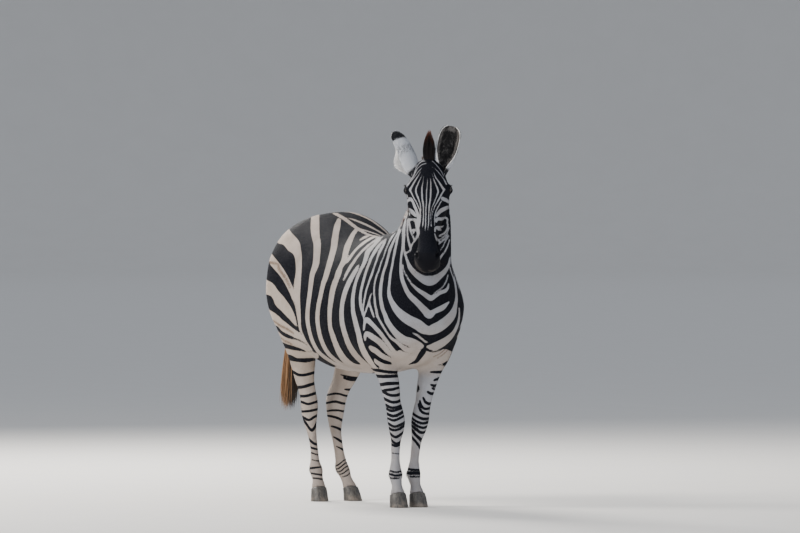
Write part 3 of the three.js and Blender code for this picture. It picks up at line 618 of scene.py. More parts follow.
def refine(form, points, faces, size):
    """Splits every edge that is longer than the size wanted at its middle, and settles the new points."""
    edges, along = edges_of(faces)
    ends = points[edges]
    middle = ends.mean(1)
    cut = np.linalg.norm(ends[:, 0] - ends[:, 1], axis=1) > size(middle)
    number = np.cumsum(cut) - 1 + len(points)
    points = np.concatenate((points, settle(form, middle[cut], 1)))
    marks = cut[along]
    count = marks.sum(1)
    new = [faces[count == 0]]
    for wanted, first in ((1, lambda m: m[:, 0]), (2, lambda m: m[:, 0] & m[:, 1]), (3, lambda m: m[:, 0])):
        chosen = count == wanted
        face, mark, edge = faces[chosen], marks[chosen], along[chosen]
        done = np.zeros(len(face), bool)
        for turn in range(3):
            f, m, e = (np.roll(v, -turn, 1) for v in (face, mark, edge))
            use = first(m) & ~done
            done |= use
            a, b, c = f[use].T
            ab, bc, ca = number[e[use]].T
            if wanted == 1:
                split = [(a, ab, c), (ab, b, c)]
            elif wanted == 2:
                split = [(ab, b, bc), (a, ab, bc), (a, bc, c)]
            else:
                split = [(a, ab, ca), (ab, b, bc), (ca, bc, c), (ab, bc, ca)]
            new += [np.stack(s, 1) for s in split]
    return points, np.concatenate(new)


def relax(form, points, faces, rounds, where):
    """Evens out the mesh along the surface, at the points that where picks."""
    edges, _ = edges_of(faces)
    chosen = where(points)
    edges = edges[chosen[edges].any(1)]
    a, b = np.concatenate((edges, edges[:, ::-1])).T
    count = np.maximum(np.bincount(a, minlength=len(points)), 1)
    for _ in range(rounds):
        mean = np.stack([np.bincount(a, points[b, k], len(points)) for k in range(3)], 1) / count[:, None]
        moved = points[chosen]
        slope = slope_of(form, moved)
        normal = slope / np.maximum(np.linalg.norm(slope, axis=1), 1e-9)[:, None]
        move = .6 * (mean[chosen] - moved)
        points[chosen] = settle(form, moved + move - (move * normal).sum(1)[:, None] * normal, 1)
    return points


# ---- the skin's mesh -------------------------------------------------------------------------------------
SKIN_BOX = (-1.06, -.36, .02), (.84, .36, 1.7)
GRID = .0135
FINE = [  # the longest edge near each of these, from their middle out: eyes and nostrils
    (spot(place, side), reach, size)
    for place, reach, size in ((EYE, .036, .0022), (NOSTRIL, .03, .0027)) for side in (1, -1)
]
# the longest edge that the mesh may have on each part
EDGE = dict(body=.021, fore=.0135, legs=.0095, head=.0068, face=.0053, lips=.0028, lids=.0015)


def edge_wanted(p):
    """The longest edge that the skin's mesh may have near each point."""
    along, side, front = head_frame(p)
    wanted = np.where(p[:, 2] < .72, EDGE["legs"], EDGE["body"])
    wanted = np.where((p[:, 0] > -.05) & (p[:, 2] >= .72), EDGE["fore"], wanted)
    wanted = np.where((along > -.05) & (np.abs(side) < .12) & (front > -.19), EDGE["head"], wanted)
    wanted = np.where((along > -.03) & (np.abs(side) < .1) & (front > -.02), EDGE["face"], wanted)
    lips = (along > MOUTH["corner"] - .01) & (np.abs(side) < .08) & (np.abs(off_lips(along, front)) < .008)
    wanted = np.where(lips, EDGE["lips"], wanted)
    for middle, reach, size in FINE:
        far = np.linalg.norm(p - middle, axis=1)
        wanted = np.minimum(wanted, size + .35 * np.maximum(far - reach, 0))
    for side in (1, -1):
        middle, long, short, _ = eye_axes(side)
        q = p - middle
        edge = np.abs(eye_opening(q @ long, q @ short) + .001) < .003
        wanted = np.where(edge & (np.linalg.norm(q, axis=1) < .035), EDGE["lids"], wanted)
    return wanted


def skin_mesh():
    points, quads = grid_surface(flesh, *SKIN_BOX, GRID)
    faces = triangles(points, quads)
    points = relax(flesh, settle(flesh, points), faces, 2, lambda p: p[:, 2] > 0)
    fine = lambda p: edge_wanted(p) < .006
    for form in (flesh, flesh, skin, skin, skin):
        points, faces = refine(form, points, faces, edge_wanted)
        if form is skin:
            chosen = fine(points)
            points[chosen] = settle(form, points[chosen])
            points = relax(form, points, faces, 2, fine)
    points = relax(skin, points, faces, 1, lambda p: p[:, 2] > 0)
    return open_eyes(points), faces


# ---- stripes --------------------------------------------------------------------------------------------
# A stroke is a run of (across, up, half width) in millimetres on a flat stencil held in front of the
# animal's right breast; STENCIL is the way across it and TO_STENCIL the way towards it. White strokes are
# laid on a black ground, and the black ones of BLACK and LEGS on a white one.
STENCIL = np.array((.4067, .9135))
TO_STENCIL = np.array((.9135, -.4067, 0))
WHITE = [
    # croup and haunch
    "-333,1390,18 -333,1370,17 -335,1304,20 -332,1257,19 -324,1220,17 -324,1187,16 -326,1150,15 -331,1117,14 "
    "-345,1079,11 -352,1033,10 -357,990,9 -364,939,9 -368,901,9 -368,859,9 -361,817,8 -350,775,8 -336,742,8 "
    "-317,712,8 -284,684,8 -246,660,7 -209,641,7 -160,628,8 -100,615,9",
    "-222,1325,9 -230,1297,14 -236,1267,14 -241,1234,15 -245,1201,14 -253,1168,13 -261,1140,13 "
    "-269,1112,12 -276,1089,12 -284,1061,11 -293,1037,10 -300,1009,9 -307,976,9 -315,939,9 -320,901,9 "
    "-321,864,9 -317,827,9 -309,789,9 -294,747,9 -272,709,9 -246,684,8 -218,663,8 -180,642,8 -120,628,8",
    "-640,1370,30 -560,1310,38 -500,1262,42 -470,1235,38 -440,1210,34 -425,1190,24 -413,1158,17 "
    "-410,1117,14 -411,1079,13 -415,1042,15 -418,1000,15 -415,953,11 -412,906,10 -408,864,8 -405,826,6 "
    "-394,789,6 -376,756,5 -357,728,4 -345,709,3",
    "-830,1420,30 -700,1330,36 -600,1205,34 -575,1175,20 -540,1136,19 -514,1107,18 -491,1079,16 -470,1047,14 "
    "-451,1009,12 -437,967,7 -429,930,4 -425,901,2",
    "-830,1230,36 -700,1130,34 -600,1030,30 -554,1004,30 -533,976,30 -505,948,29 -477,920,26 -453,892,23 "
    "-434,864,20 -424,836,10 -420,824,3",
    "-830,1080,26 -700,990,22 -600,905,20 -530,868,20 -505,840,23 -477,822,23 -449,808,22 -420,789,17 "
    "-397,775,11 -378,754,3",
    "-830,980,24 -640,880,20 -560,812,18 -520,785,20 -480,765,19 -440,750,17 -400,738,15 -370,722,12 "
    "-350,712,6",
    "-830,900,26 -640,790,22 -560,730,20 -510,706,20 -460,698,18 -410,692,17 -360,692,16 -330,690,14",
    # flank
    "-123,1292,8 -133,1288,7 -152,1267,9 -167,1239,11 -181,1207,13 -191,1174,12 -197,1146,11 -212,1114,10 "
    "-226,1090,8 -240,1066,1",
    "-212,1100,6 -221,1082,10 -237,1046,12 -250,1004,12 -258,955,11 -263,914,10 -264,867,9 -261,830,9 "
    "-251,797,11 -237,757,12 -222,722,14 -199,686,15 -170,658,15 -135,642,14 -90,630,12 -30,620,10",
    "-129,1126,1 -138,1108,7 -152,1084,9 -166,1059,10 -178,1034,10 -190,1005,10 -200,968,10 -206,937,9 "
    "-208,900,10 -207,867,10 -200,830,11 -190,797,11 -177,760,12 -160,728,13 -135,695,13 -105,667,12 "
    "-74,646,9 -30,632,8",
    "-19,1251,2 -39,1234,4 -57,1217,6 -73,1200,8 -87,1183,10 -94,1162,9 -100,1143,8 -107,1125,7 -117,1107,6 "
    "-126,1088,6 -135,1067,6 -143,1042,6 -149,1018,7 -153,993,7 -156,969,8 -156,938,8 -154,910,9 -149,886,10 "
    "-139,844,11 -129,807,11 -121,769,12 -110,737,13 -93,704,13 -72,674,11 -53,653,5",
    # withers fan
    "-124,1235,1 -110,1245,4 -94,1252,4 -79,1258,2",
    "-190,1134,6 -174,1150,6 -156,1176,5 -138,1197,4 -119,1214,5 -101,1228,5 -82,1240,4 -64,1249,3 "
    "-45,1256,2",
    "-200,1051,1 -187,1080,5 -168,1114,6 -156,1131,6 -141,1154,5 -125,1174,4 -107,1194,4 -88,1211,4 "
    "-70,1225,3 -51,1239,3 -33,1254,2",
    "-14,1240,2 -33,1217,5 -48,1196,6 -60,1177,6 -70,1159,5 -77,1140,5 -86,1119,5 -94,1097,5 -101,1073,5 "
    "-108,1048,5 -114,1024,5 -119,999,5 -121,975,6 -120,950,6 -117,929,5 -111,907,4 -107,889,2",
    "-2,1245,2 -13,1220,4 -23,1202,5 -33,1183,5 -39,1168,4 -44,1152,3 -51,1134,3 -58,1113,3 -65,1091,4 "
    "-73,1070,4 -81,1048,3 -88,1027,3 -94,1008,3 -98,987,3 -103,962,3 -106,941,2 -108,919,2 -108,900,1",
    "40,1275,2 26,1256,3 15,1237,3 7,1220,2 -1,1202,2 -8,1183,2 -15,1162,2 -23,1141,2 -30,1119,2 -38,1095,3 "
    "-46,1076,3 -52,1055,3 -56,1033,3 -57,1012,3 -56,987,3 -54,963,4 -51,938,4 -46,917,5 -42,894,5 -33,871,6 "
    "-21,851,6 -7,827,6 6,807,6 22,789,7 39,776,8 58,762,8 77,747,9 97,737,9",
    "60,1290,2 52,1272,2 41,1254,2 33,1236,4 25,1218,5 17,1199,6 12,1181,5 7,1162,5 2,1144,5 -4,1122,5 "
    "-11,1104,5 -17,1082,5 -21,1061,6 -25,1039,6 -27,1018,7 -28,994,7 -26,969,7 -22,945,8 -17,923,8 "
    "-6,897,9 4,869,11 21,842,12 40,817,14 62,796,16 85,780,18 112,771,20 138,759,20 161,752,12 176,747,2",
    "66,1290,2 58,1270,2 52,1252,3 48,1234,4 44,1215,4 39,1194,5 36,1176,5 31,1154,4 28,1133,4 23,1108,4 "
    "18,1084,5 15,1059,5 13,1035,5 11,1013,6 15,981,9 29,950,12 48,921,16 71,898,20 96,879,22 121,865,23 "
    "146,852,24 169,834,23 188,827,20 202,825,20 223,833,24 246,844,24 269,860,23 290,879,21 306,900,17 "
    "317,931,10 324,966,6 324,997,4 320,1031,3 313,1062,3 302,1091,2 294,1116,2",
    # neck and breast
    "80,1320,3 75,1277,2 76,1246,3 75,1215,4 72,1191,4 69,1170,4 67,1148,4 66,1120,5 68,1089,7 74,1058,8 "
    "85,1029,9 98,1002,10 115,981,12 137,960,13 158,939,14 179,917,16 198,899,18 219,912,11 238,921,12 "
    "258,930,12 273,942,8 290,957,2",
    "77,1130,1 77,1113,1 89,1085,2 104,1060,3 117,1041,4 135,1023,6 154,1008,8 177,993,10 198,978,12 "
    "208,976,12 227,985,7 250,1000,7 271,1008,8 284,1022,5 288,1041,1",
    "219,997,2 242,1012,2 262,1029,2 277,1054,2 285,1081,1",
    "86,1345,2 84,1299,3 82,1240,3 81,1216,3 83,1193,3 88,1174,4 95,1151,5 102,1133,7 111,1114,10 "
    "131,1091,12 154,1073,15 177,1060,19 198,1056,23 219,1060,20 238,1072,15 258,1087,12 275,1106,9 "
    "288,1128,6 296,1160,4",
    "121,815,2 142,804,4 162,788,4 181,773,4 192,772,2",
    "184,750,2 204,748,11 227,752,17 250,761,18 273,775,16 294,792,13 312,813,9 325,838,7 334,865,5 "
    "338,896,3 337,927,2",
    # elbow
    "-70,995,1 -75,980,2 -80,962,3 -85,945,3 -92,925,3 -99,905,3 -104,890,3 -105,880,1",
    "-79,965,2 -76,944,3 -70,922,4 -63,902,4 -57,886,2",
    "-105,827,3 -103,845,4 -100,862,6 -94,876,9 -85,872,11 -75,862,10 -60,848,9 -46,832,9 -31,816,9 "
    "-17,798,8 -4,781,8 9,763,8 22,744,8 35,727,9",
    "-98,779,3 -99,798,6 -92,810,9 -80,805,12 -66,795,13 -50,785,13 -34,773,13 -20,759,13 -7,743,12 6,728,11 "
    "19,715,9 32,705,8 45,696,8",
    "-75,747,7 -63,737,12 -47,728,12 -31,714,11 -14,703,11 3,695,10 20,687,8 36,680,6 51,671,4",
    "-54,690,3 -47,679,8 -30,668,9 -11,661,8 7,658,8 28,656,8 51,654,8 90,650,10",
    # low breast and stifle
    "60,690,40 110,700,45 165,680,50 220,690,45 270,700,35 300,690,25",
    "-620,655,30 -500,645,22 -400,632,22 -340,640,20 -300,640,16",
]
BLACK = [
    # wedges laid over the whites of the haunch and the breast
    "-700,1230,20 -600,1160,22 -552,1089,18 -528,1056,19 -505,1028,18 -481,995,17 -460,962,15 -441,930,11 "
    "-427,892,6 -418,855,4 -411,817,3 -397,790,2",
    "-830,1160,22 -700,1060,20 -600,975,12 -547,958,10 -535,925,13 -514,897,14 -490,878,13 -467,857,12 "
    "-444,836,10 -422,817,7 -401,798,3",
    "-830,1020,16 -640,900,10 -550,835,7 -514,817,7 -500,801,8 -477,784,8 -453,773,6 -430,768,5 -406,763,4 "
    "-387,754,3 -372,747,1",
    "-830,940,16 -640,830,12 -540,752,8 -491,742,6 -470,733,8 -453,731,6 -430,726,5 -406,716,4 -383,709,4 "
    "-359,709,3 -344,713,2",
    "-550,690,10 -500,686,9 -455,681,9 -439,674,9 -415,667,6 -392,658,4 -368,656,3 -350,662,2",
    "-505,1200,12 -493,1192,19 -479,1164,25 -465,1131,27 -452,1098,23 -444,1070,14 -438,1037,6 -434,1004,2",
    "179,752,5 173,730,11 162,715,13 150,696,11 138,680,9 119,671,5 104,665,2",
    "188,734,4 208,726,4 231,726,3 254,734,3 277,752,2 296,771,2 315,794,2 331,819,3 340,846,3 346,877,3",
    "235,659,2 258,663,4 277,671,5 292,680,4 302,692,3",
    "-56,897,1 -47,880,5 -39,862,7 -27,841,7 -13,821,6 2,800,5 16,781,5 33,769,5 51,754,4 65,740,3 79,728,3 "
    "97,722,2 119,717,1",
]
FACE = [
    # white lines of the face
    "159,1565,1 148,1544,2 139,1530,3 129,1514,4 118,1495,4 109,1478,6 111,1470,4 118,1456,3 127,1438,3 "
    "136,1424,3 143,1408,3 149,1394,3 154,1382,3 156,1359,4 155,1347,4 154,1331,4 152,1317,3 150,1306,2 "
    "148,1292,1",
    "164,1546,1 155,1526,2 149,1514,3 144,1502,3 138,1489,4 135,1473,4 139,1456,4 146,1440,4 152,1421,3 "
    "156,1408,3 157,1385,3 156,1365,3",
    "171,1540,1 168,1512,2 164,1493,3 163,1472,4 164,1452,4 165,1433,4 169,1410,4 170,1382,3 170,1359,3 "
    "169,1336,3 167,1318,3 166,1305,1",
    "190,1530,1 188,1509,2 187,1493,2 185,1475,3 184,1456,3 184,1430,3 183,1405,3 181,1382,3 181,1359,3 "
    "180,1336,3 180,1317,3 178,1299,2 178,1288,1",
    "202,1532,1 204,1509,3 204,1493,3 204,1475,4 203,1456,4 202,1435,4 198,1412,4 196,1395,4 195,1375,3 "
    "194,1350,3 194,1330,3 193,1317,3 191,1304,2 190,1290,1",
    "203,1387,1 204,1368,2 204,1348,2 205,1329,2 206,1311,3",
    "211,1550,1 217,1528,2 222,1514,3 228,1500,3 233,1489,4 237,1475,4 238,1468,4 234,1456,4 229,1442,3 "
    "223,1428,3 218,1415,3 212,1402,2 208,1390,2 211,1368,2 213,1350,1",
    "216,1562,1 222,1546,2 229,1530,3 238,1519,3 247,1505,4 254,1493,5 262,1482,6 265,1477,6 261,1469,4 "
    "253,1456,4 246,1442,4 238,1428,4 230,1414,3 222,1401,3 217,1385,2 214,1371,1",
    "253,1425,3 247,1417,3 243,1408,3 235,1394,3 228,1380,3 224,1366,3 222,1352,3 222,1338,3 221,1325,2 "
    "221,1312,2",
    # crown
    "183,1598,2 166,1594,2 152,1583,2 141,1572,2 132,1556,3 124,1540,3 115,1528,4 106,1514,5 99,1500,4",
    "178,1609,2 162,1607,3 148,1595,2 139,1581,2 132,1565,2 127,1551,2",
    "171,1616,4 155,1612,4 143,1604,3 137,1592,3 131,1580,2",
    "164,1579,1 155,1569,2 145,1558,2 136,1545,2 128,1535,2 118,1523,2 108,1511,2",
    "125,1600,2 123,1585,5 120,1570,4 116,1556,3 118,1540,2",
    "210,1610,2 222,1600,2 233,1588,2 243,1576,2 252,1563,2 259,1551,2 264,1539,2",
    "224,1618,3 238,1606,3 250,1595,3 261,1583,2 268,1570,1",
    "238,1625,4 252,1616,4 263,1606,4 275,1597,4 285,1583,5",
    "207,1583,1 222,1576,1 233,1565,2 245,1551,2 256,1537,2 266,1523,3 272,1511,4 276,1502,3",
    "266,1553,2 273,1539,2 280,1526,3 285,1514,3 290,1505,4 300,1496,6",
]
CHEEKS = [
    "91,1500,4 88,1488,4 91,1470,2 90,1452,4 92,1435,6 101,1432,6 111,1435,4 117,1428,3",
    "92,1422,4 90,1400,3 90,1383,5 102,1383,7 115,1377,6 125,1368,5 134,1358,2",
    "121,1424,2 126,1412,2 130,1401,3 136,1387,3 142,1371,3 146,1357,4 147,1341,5 144,1324,5 143,1313,4 "
    "144,1300,3",
    "92,1384,4 92,1360,3 96,1345,3 97,1325,3 97,1299,3 97,1278,3 99,1255,3 104,1232,4 109,1216,5 112,1205,4 "
    "110,1195,3 101,1188,3 90,1183,3",
    "103,1337,4 122,1338,4 134,1337,4 138,1322,4 141,1308,4 143,1294,6 146,1280,5 144,1268,4 140,1257,4 "
    "136,1246,3 129,1237,3 120,1225,3 113,1212,4",
    "104,1338,4 106,1320,3 110,1299,4 112,1283,3 118,1269,3 125,1255,3 129,1243,3",
    "117,1288,4 129,1290,4 141,1289,5",
    "125,1290,4 127,1276,3",
    "258,1438,4 265,1434,5 275,1430,5 284,1424,4 292,1418,3",
    "300,1397,5 290,1396,5 277,1394,5 263,1388,6 252,1382,6 243,1374,5 236,1366,4 231,1359,2",
    "229,1332,2 232,1341,4 241,1344,4 252,1343,4 266,1345,4 277,1345,4 283,1337,3 281,1324,3 284,1313,3 "
    "282,1299,3 277,1287,3 268,1276,3 257,1269,3 245,1263,4",
    "223,1286,1 225,1300,2 232,1304,4 243,1302,5 256,1305,3 264,1308,2",
    "240,1298,4 247,1294,5 252,1288,2",
    "290,1300,2 286,1290,2 279,1271,2 268,1262,2 257,1252,2 247,1246,2",
    "222,1275,1 226,1262,2 233,1248,4 240,1243,5 246,1236,3",
    "284,1268,2 273,1252,2 263,1243,3 252,1234,3 243,1225,3",
    "288,1262,2 277,1243,2 270,1232,2 263,1216,2 254,1204,2 249,1195,1",
    "292,1245,2 287,1227,2 280,1209,3 270,1190,3 259,1176,4 250,1163,4 243,1149,3 236,1137,2",
    "296,1440,3 295,1400,3 294,1360,2",
]
LEGS = {
    ("hind", -1): [
        "-470,615,5 -443,609,5 -418,596,5 -396,593,5 -370,597,5 -344,604,5 -310,612,5",
        "-460,530,5 -423,533,6 -391,537,6 -365,545,6 -341,552,5 -310,560,5",
        "-440,488,4 -407,491,5 -375,494,5 -341,504,5 -310,512,4",
        "-430,470,3 -401,465,4 -370,455,4 -341,462,4 -315,470,4",
        "-430,420,4 -400,419,4 -370,421,4 -341,426,4 -315,432,4",
        "-420,400,3 -392,392,4 -365,379,4 -339,394,4 -320,402,4",
        "-400,384,3 -382,368,4 -365,343,4 -350,330,5 -338,345,4 -325,368,4",
        "-380,300,3 -360,284,4 -341,269,4 -318,262,3",
        "-375,256,2 -354,250,3 -339,245,3 -315,240,2",
        "-355,226,2 -333,219,2 -315,215,2",
        "-350,193,2 -325,188,2 -305,186,2",
        "-380,152,4 -357,153,4 -340,156,4 -300,160,2",
        "-380,130,3 -357,130,3 -338,128,3 -300,122,3",
        "-345,108,3 -318,106,3 -290,100,3",
    ],
    ("hind", 1): [
        "-215,592,1 -198,588,2 -160,580,3 -120,576,3",
        "-199,577,3 -172,570,5 -144,569,6 -100,566,6",
        "-195,523,2 -175,521,4 -152,519,5 -110,516,5",
        "-300,490,4 -276,495,3 -245,502,3 -220,501,3 -198,494,3 -166,487,3 -140,482,3",
        "-300,452,3 -269,460,3 -240,465,4 -209,457,4 -178,452,3 -150,448,3",
        "-300,412,3 -282,418,2 -256,423,3 -224,423,3 -198,418,3 -178,428,3 -160,436,3",
        "-300,400,2 -277,397,3 -245,392,4 -219,382,4 -203,371,4 -195,352,3",
        "-260,348,2 -245,345,3 -224,337,4 -204,324,4 -190,306,3",
        "-250,298,1 -235,291,3 -214,278,4 -190,263,3",
        "-235,254,1 -219,247,2 -204,238,3 -190,228,2",
        "-242,160,2 -225,168,2 -200,188,2 -180,196,2",
        "-240,146,2 -222,152,2 -195,174,2 -170,184,2",
        "-235,134,2 -215,138,2 -190,158,2 -160,168,2",
        "-220,122,2 -200,130,2 -175,148,2 -150,156,2",
        "-205,112,2 -185,118,2 -165,134,2 -145,142,2",
    ],
    ("fore", -1): [
        "-66,641,4 -35,637,5 1,632,5 53,629,4 90,631,3",
        "-60,612,6 -35,610,6 1,610,6 53,612,5 90,614,5",
        "-50,570,6 -25,571,6 1,576,7 30,578,6 53,578,5 90,580,5",
        "-30,536,2 -10,545,4 12,548,5 30,550,5 53,556,4 90,562,4",
        "-40,548,4 -17,540,5 1,529,5 22,522,5 45,522,5 60,526,5 95,540,5",
        "-30,512,4 -7,504,5 22,491,5 48,491,5 66,499,4 95,510,4",
        "-15,480,3 1,475,4 22,465,4 48,467,4 68,475,3 95,488,3",
        "-15,463,3 4,457,4 22,449,4 42,452,4 68,462,4 95,474,4",
        "-15,440,4 6,434,5 27,426,5 48,429,5 73,442,5 95,455,5",
        "-15,420,3 9,413,3 32,405,4 53,411,4 78,424,3 95,436,3",
        "-15,400,3 6,392,4 22,382,4 42,377,4 68,387,4 95,402,3",
        "-5,374,3 14,367,4 32,359,4 58,364,4 78,377,4 95,388,3",
        "-5,362,2 14,346,4 32,331,4 48,328,5 68,341,4 90,356,4",
        "5,330,2 22,315,3 37,300,4 53,297,4 71,310,3 90,324,3",
        "10,302,2 29,289,3 45,284,3 58,289,3 80,300,2",
        "25,252,1 45,250,1 63,248,1 80,248,1",
        "5,172,2 25,168,3 45,164,3 75,168,3",
        "5,156,3 25,152,4 45,148,4 75,152,3",
        "10,138,2 35,134,3 60,136,2",
    ],
    ("fore", 1): [
        "205,628,2 225,628,4 258,628,5 277,634,4 300,645,4",
        "222,590,3 240,596,5 262,602,5 290,612,4",
        "207,569,3 227,564,5 250,569,5 280,578,4",
        "212,553,2 230,546,4 248,552,4 270,560,3",
        "192,536,4 202,530,5 213,527,5 230,530,5 255,540,4",
        "171,509,3 176,498,4 181,489,5 197,481,5 215,483,4 240,492,4",
        "155,494,3 158,482,4 163,471,4 176,458,4 197,459,4 225,468,4",
        "150,478,3 154,462,4 160,448,4 176,437,4 202,434,4 225,440,4",
        "110,445,4 124,434,4 145,421,4 170,411,5 202,413,4 225,420,4",
        "115,418,3 129,406,3 150,395,4 170,390,4 196,395,4 220,402,4",
        "110,402,3 124,392,4 145,377,4 170,369,4 186,373,4 210,382,3",
        "110,384,3 126,372,4 142,359,5 160,347,5 178,349,4 200,358,4",
        "112,362,4 124,351,5 134,338,5 155,318,6 170,303,5 185,295,4",
        "112,330,3 119,322,4 134,307,4 150,286,4 163,263,3 172,255,2",
        "95,180,3 108,175,4 135,173,4 165,172,4 185,174,3",
        "95,160,5 108,157,6 135,157,6 165,157,6 185,158,4",
        "110,141,2 134,140,3 160,141,2",
    ],
}
SHADE = [
    "-620,1130,10 -513,1125,5 -500,1100,6 -477,1070,6 -460,1042,5 -448,1014,4",
    "-620,880,8 -525,850,4 -504,836,5 -481,826,5 -453,812,5 -434,800,3",
    "-560,790,6 -495,772,3 -480,762,4 -460,754,4 -444,745,3",
    "219,703,2 242,713,2 265,730,2 288,753,2 308,773,2",
    "238,696,2 262,711,2 281,730,2 300,750,2",
]
LIPS_PALE = [
    "116,1165,3 125,1158,4 129,1149,5 134,1142,5 141,1130,4 150,1119,3 159,1114,2",
    "143,1114,2 155,1107,3 166,1102,3 176,1098,2",
    "194,1107,2 206,1105,3 217,1107,3 226,1113,2",
]


def strokes(table):
    """Each line of a table as a run of places with a smooth curve through them."""
    runs = []
    for line in table:
        run = np.array([[float(n) for n in place.split(",")] for place in line.split()]) / 1000
        fine = np.arange(0, len(run) - .99, 1 / 3)
        i = np.minimum(fine.astype(int), len(run) - 2)
        u = (fine - i)[:, None]
        p0, p1, p2, p3 = (run[np.clip(i + k, 0, len(run) - 1)] for k in (-1, 0, 1, 2))
        bend = (2 * p0 - 5 * p1 + 4 * p2 - p3) * u**2 + (3 * p1 - p0 - 3 * p2 + p3) * u**3
        runs.append(.5 * (2 * p1 + (p2 - p0) * u + bend))
    return runs


REACH = .03  # how far from a stroke its distance counts
FINEST = 2.4  # in millimetres; no white stroke of the body has a smaller half width


def stroke_gap(places, run):
    """How far each place is outside a stroke."""
    gap = np.full(len(places), 3 * REACH)
    low, high = run[:, :2].min(0) - 2 * REACH, run[:, :2].max(0) + 2 * REACH
    near = np.flatnonzero(((places > low) & (places < high)).all(1))
    p = places[near]
    best = gap[near]
    for a, b in zip(run[:-1], run[1:]):
        step = b - a
        t = np.clip(((p - a[:2]) @ step[:2]) / max(step[:2] @ step[:2], 1e-12), 0, 1)
        off = np.hypot(p[:, 0] - a[0] - t * step[0], p[:, 1] - a[1] - t * step[1]) - a[2] - t * step[2]
        np.minimum(best, off, out=best)
    gap[near] = best
    return gap


def laid(places, table, ground=REACH):
    """Strokes of one colour on a ground of the other; above zero is black, and so is a ground above zero."""
    field = np.full(len(places), ground)
    for run in strokes(table):
        gap = stroke_gap(places, run)
        field = np.minimum(field, gap) if ground > 0 else np.maximum(field, -gap)
    return field


def body_stripes(places):
    """The white strokes of the body with the black ones over them."""
    return np.maximum(laid(places, [wider(line) for line in WHITE]), laid(places, BLACK, -REACH))


def wider(line):
    """A stroke whose finest parts are a little wider."""
    places = [place.rsplit(",", 1) for place in line.split()]
    return " ".join(f"{place},{math.hypot(float(half), FINEST):.1f}" for place, half in places)


RUMP_TURN = .2  # how round the rump is where the pattern goes on round it


def body_places(p, normal):
    """Where points of the trunk and the neck lie on the stencil, seen from their own side of the animal."""
    x, y, z = p.T
    across = STENCIL[0] * x - STENCIL[1] * np.abs(y)
    away = np.minimum(TO_STENCIL[0] * normal[:, 0] - TO_STENCIL[1] * normal[:, 1] * np.sign(y), 0)
    return np.stack((across - 2 * RUMP_TURN * (1 - np.sqrt(np.maximum(1 - away**2, 0))), z), 1)


def on_stencil(p):
    """Where points lie on the stencil as seen through it."""
    return np.stack((STENCIL[0] * p[:, 0] + STENCIL[1] * p[:, 1], p[:, 2]), 1)


def barred(place, white, apart):
    """Bars, one to each whole number of place: how far each place is inside a black one."""
    return (np.abs(place % 1 - .5) - white) * apart


BACK_LINE = .012  # half the width of the pale line along the back
RINGS = dict(steps=.62, apart=.055)
DOCK_BARS = .034  # how far apart they are
CHEEK_BARS = .046


def pattern(p, normal):
    """How far each point is inside a black stripe, or outside one where it is less than nothing."""
    x, y, z = p.T
    direct = on_stencil(p)
    field = body_stripes(body_places(p, normal))
    # the front of the left breast has stripes of its own
    share = (y > 0) * soft(x, .08, .12) * soft(z, .53, .57) * soft(normal @ TO_STENCIL, .08, .3)
    own = share > 0
    field[own] += share[own] * (body_stripes(direct[own]) - field[own])
    # a pale line along the back, and a pale belly
    back = (x > -.6) & (x < -.05) & (z > 1.1)
    field[back] = np.minimum(field, np.abs(y) - BACK_LINE)[back]
    field -= .04 * soft(-normal[:, 2], .93, .995) * (z > .55)
    # rings round the upper neck and the throat
    step = neck_place(x, z)[0]
    rings = barred(step / RINGS["steps"] + .2 + .1 * np.sin(2.3 * step + 3 * y), .21, RINGS["apart"])
    upper = soft(z - .35 * (x - .3), 1.27, 1.36)
    hidden = soft(direct[:, 0], .15, .165) * (1 - soft(direct[:, 0], .226, .246)) * soft(z, 1.1, 1.15)
    left = soft(y, 0, .03) * (1 - soft(normal @ TO_STENCIL, -.1, .12)) * soft(z - .25 * (x - .3), 1.1, 1.2)
    share = (x > .1) * (z > 1.1) * np.maximum(np.maximum(upper, left), hidden)
    field += share * (rings - field)
    # legs
    for (kind, way), table in LEGS.items():
        own = (np.sign(y) == way) & ((x > LEGS_X) == (kind == "fore")) & (z < .67)
        share = 1 - soft(z[own], *LEG_TOP[kind])
        bars = laid(direct[own], table, -REACH) + .0013 + .0008 * soft(z[own], .2, .25)
        field[own] += share * (bars - field[own])
    # dark skin under the tail, between the buttocks
    under = soft(-x, .66, .72) * (1 - soft(np.abs(y), .016, .032)) * (1 - soft(z, 1.03, 1.08)) * (z > .62)
    field += under * (.008 - field)
    # the dock has bars across it
    clear = soft(trunk(p) - dock(p), .006, .026)
    tail = clear > 0
    bars = barred(z[tail] / DOCK_BARS + .3 * np.abs(y[tail] - .02) / .02, .22, DOCK_BARS)
    bars = np.maximum(bars, .006 - np.abs(y[tail] + .01 - .1 * (z[tail] - 1)))
    field[tail] += clear[tail] * (bars - field[tail])
    # head, and the cheek stripes that run on to the throat
    face = head(p) < np.minimum(neck(p), trunk(p))
    beside = ~face & (z < 1.4) & (z > 1.1) & (normal @ TO_STENCIL > .02) & (x > .36)
    beside &= (direct[:, 0] < .158) | (direct[:, 0] > .236)
    broad = .001 + .0022 * soft(z[face], 1.26, 1.31)
    field[face] = np.minimum(laid(direct[face], FACE) + .0008, laid(direct[face], CHEEKS) - broad)
    along, _, front = head_frame(p[face])
    bars = barred((along - .35 * front) / CHEEK_BARS, .2, CHEEK_BARS)
    share = soft(-normal[face] @ TO_STENCIL, -.04, .1) * soft(-front, .0, .03) * (1 - soft(along, .3, .36))
    field[face] += share * (bars - field[face])
    field[beside] = np.minimum(field[beside], laid(direct[beside], CHEEKS) - .0006)
    return field


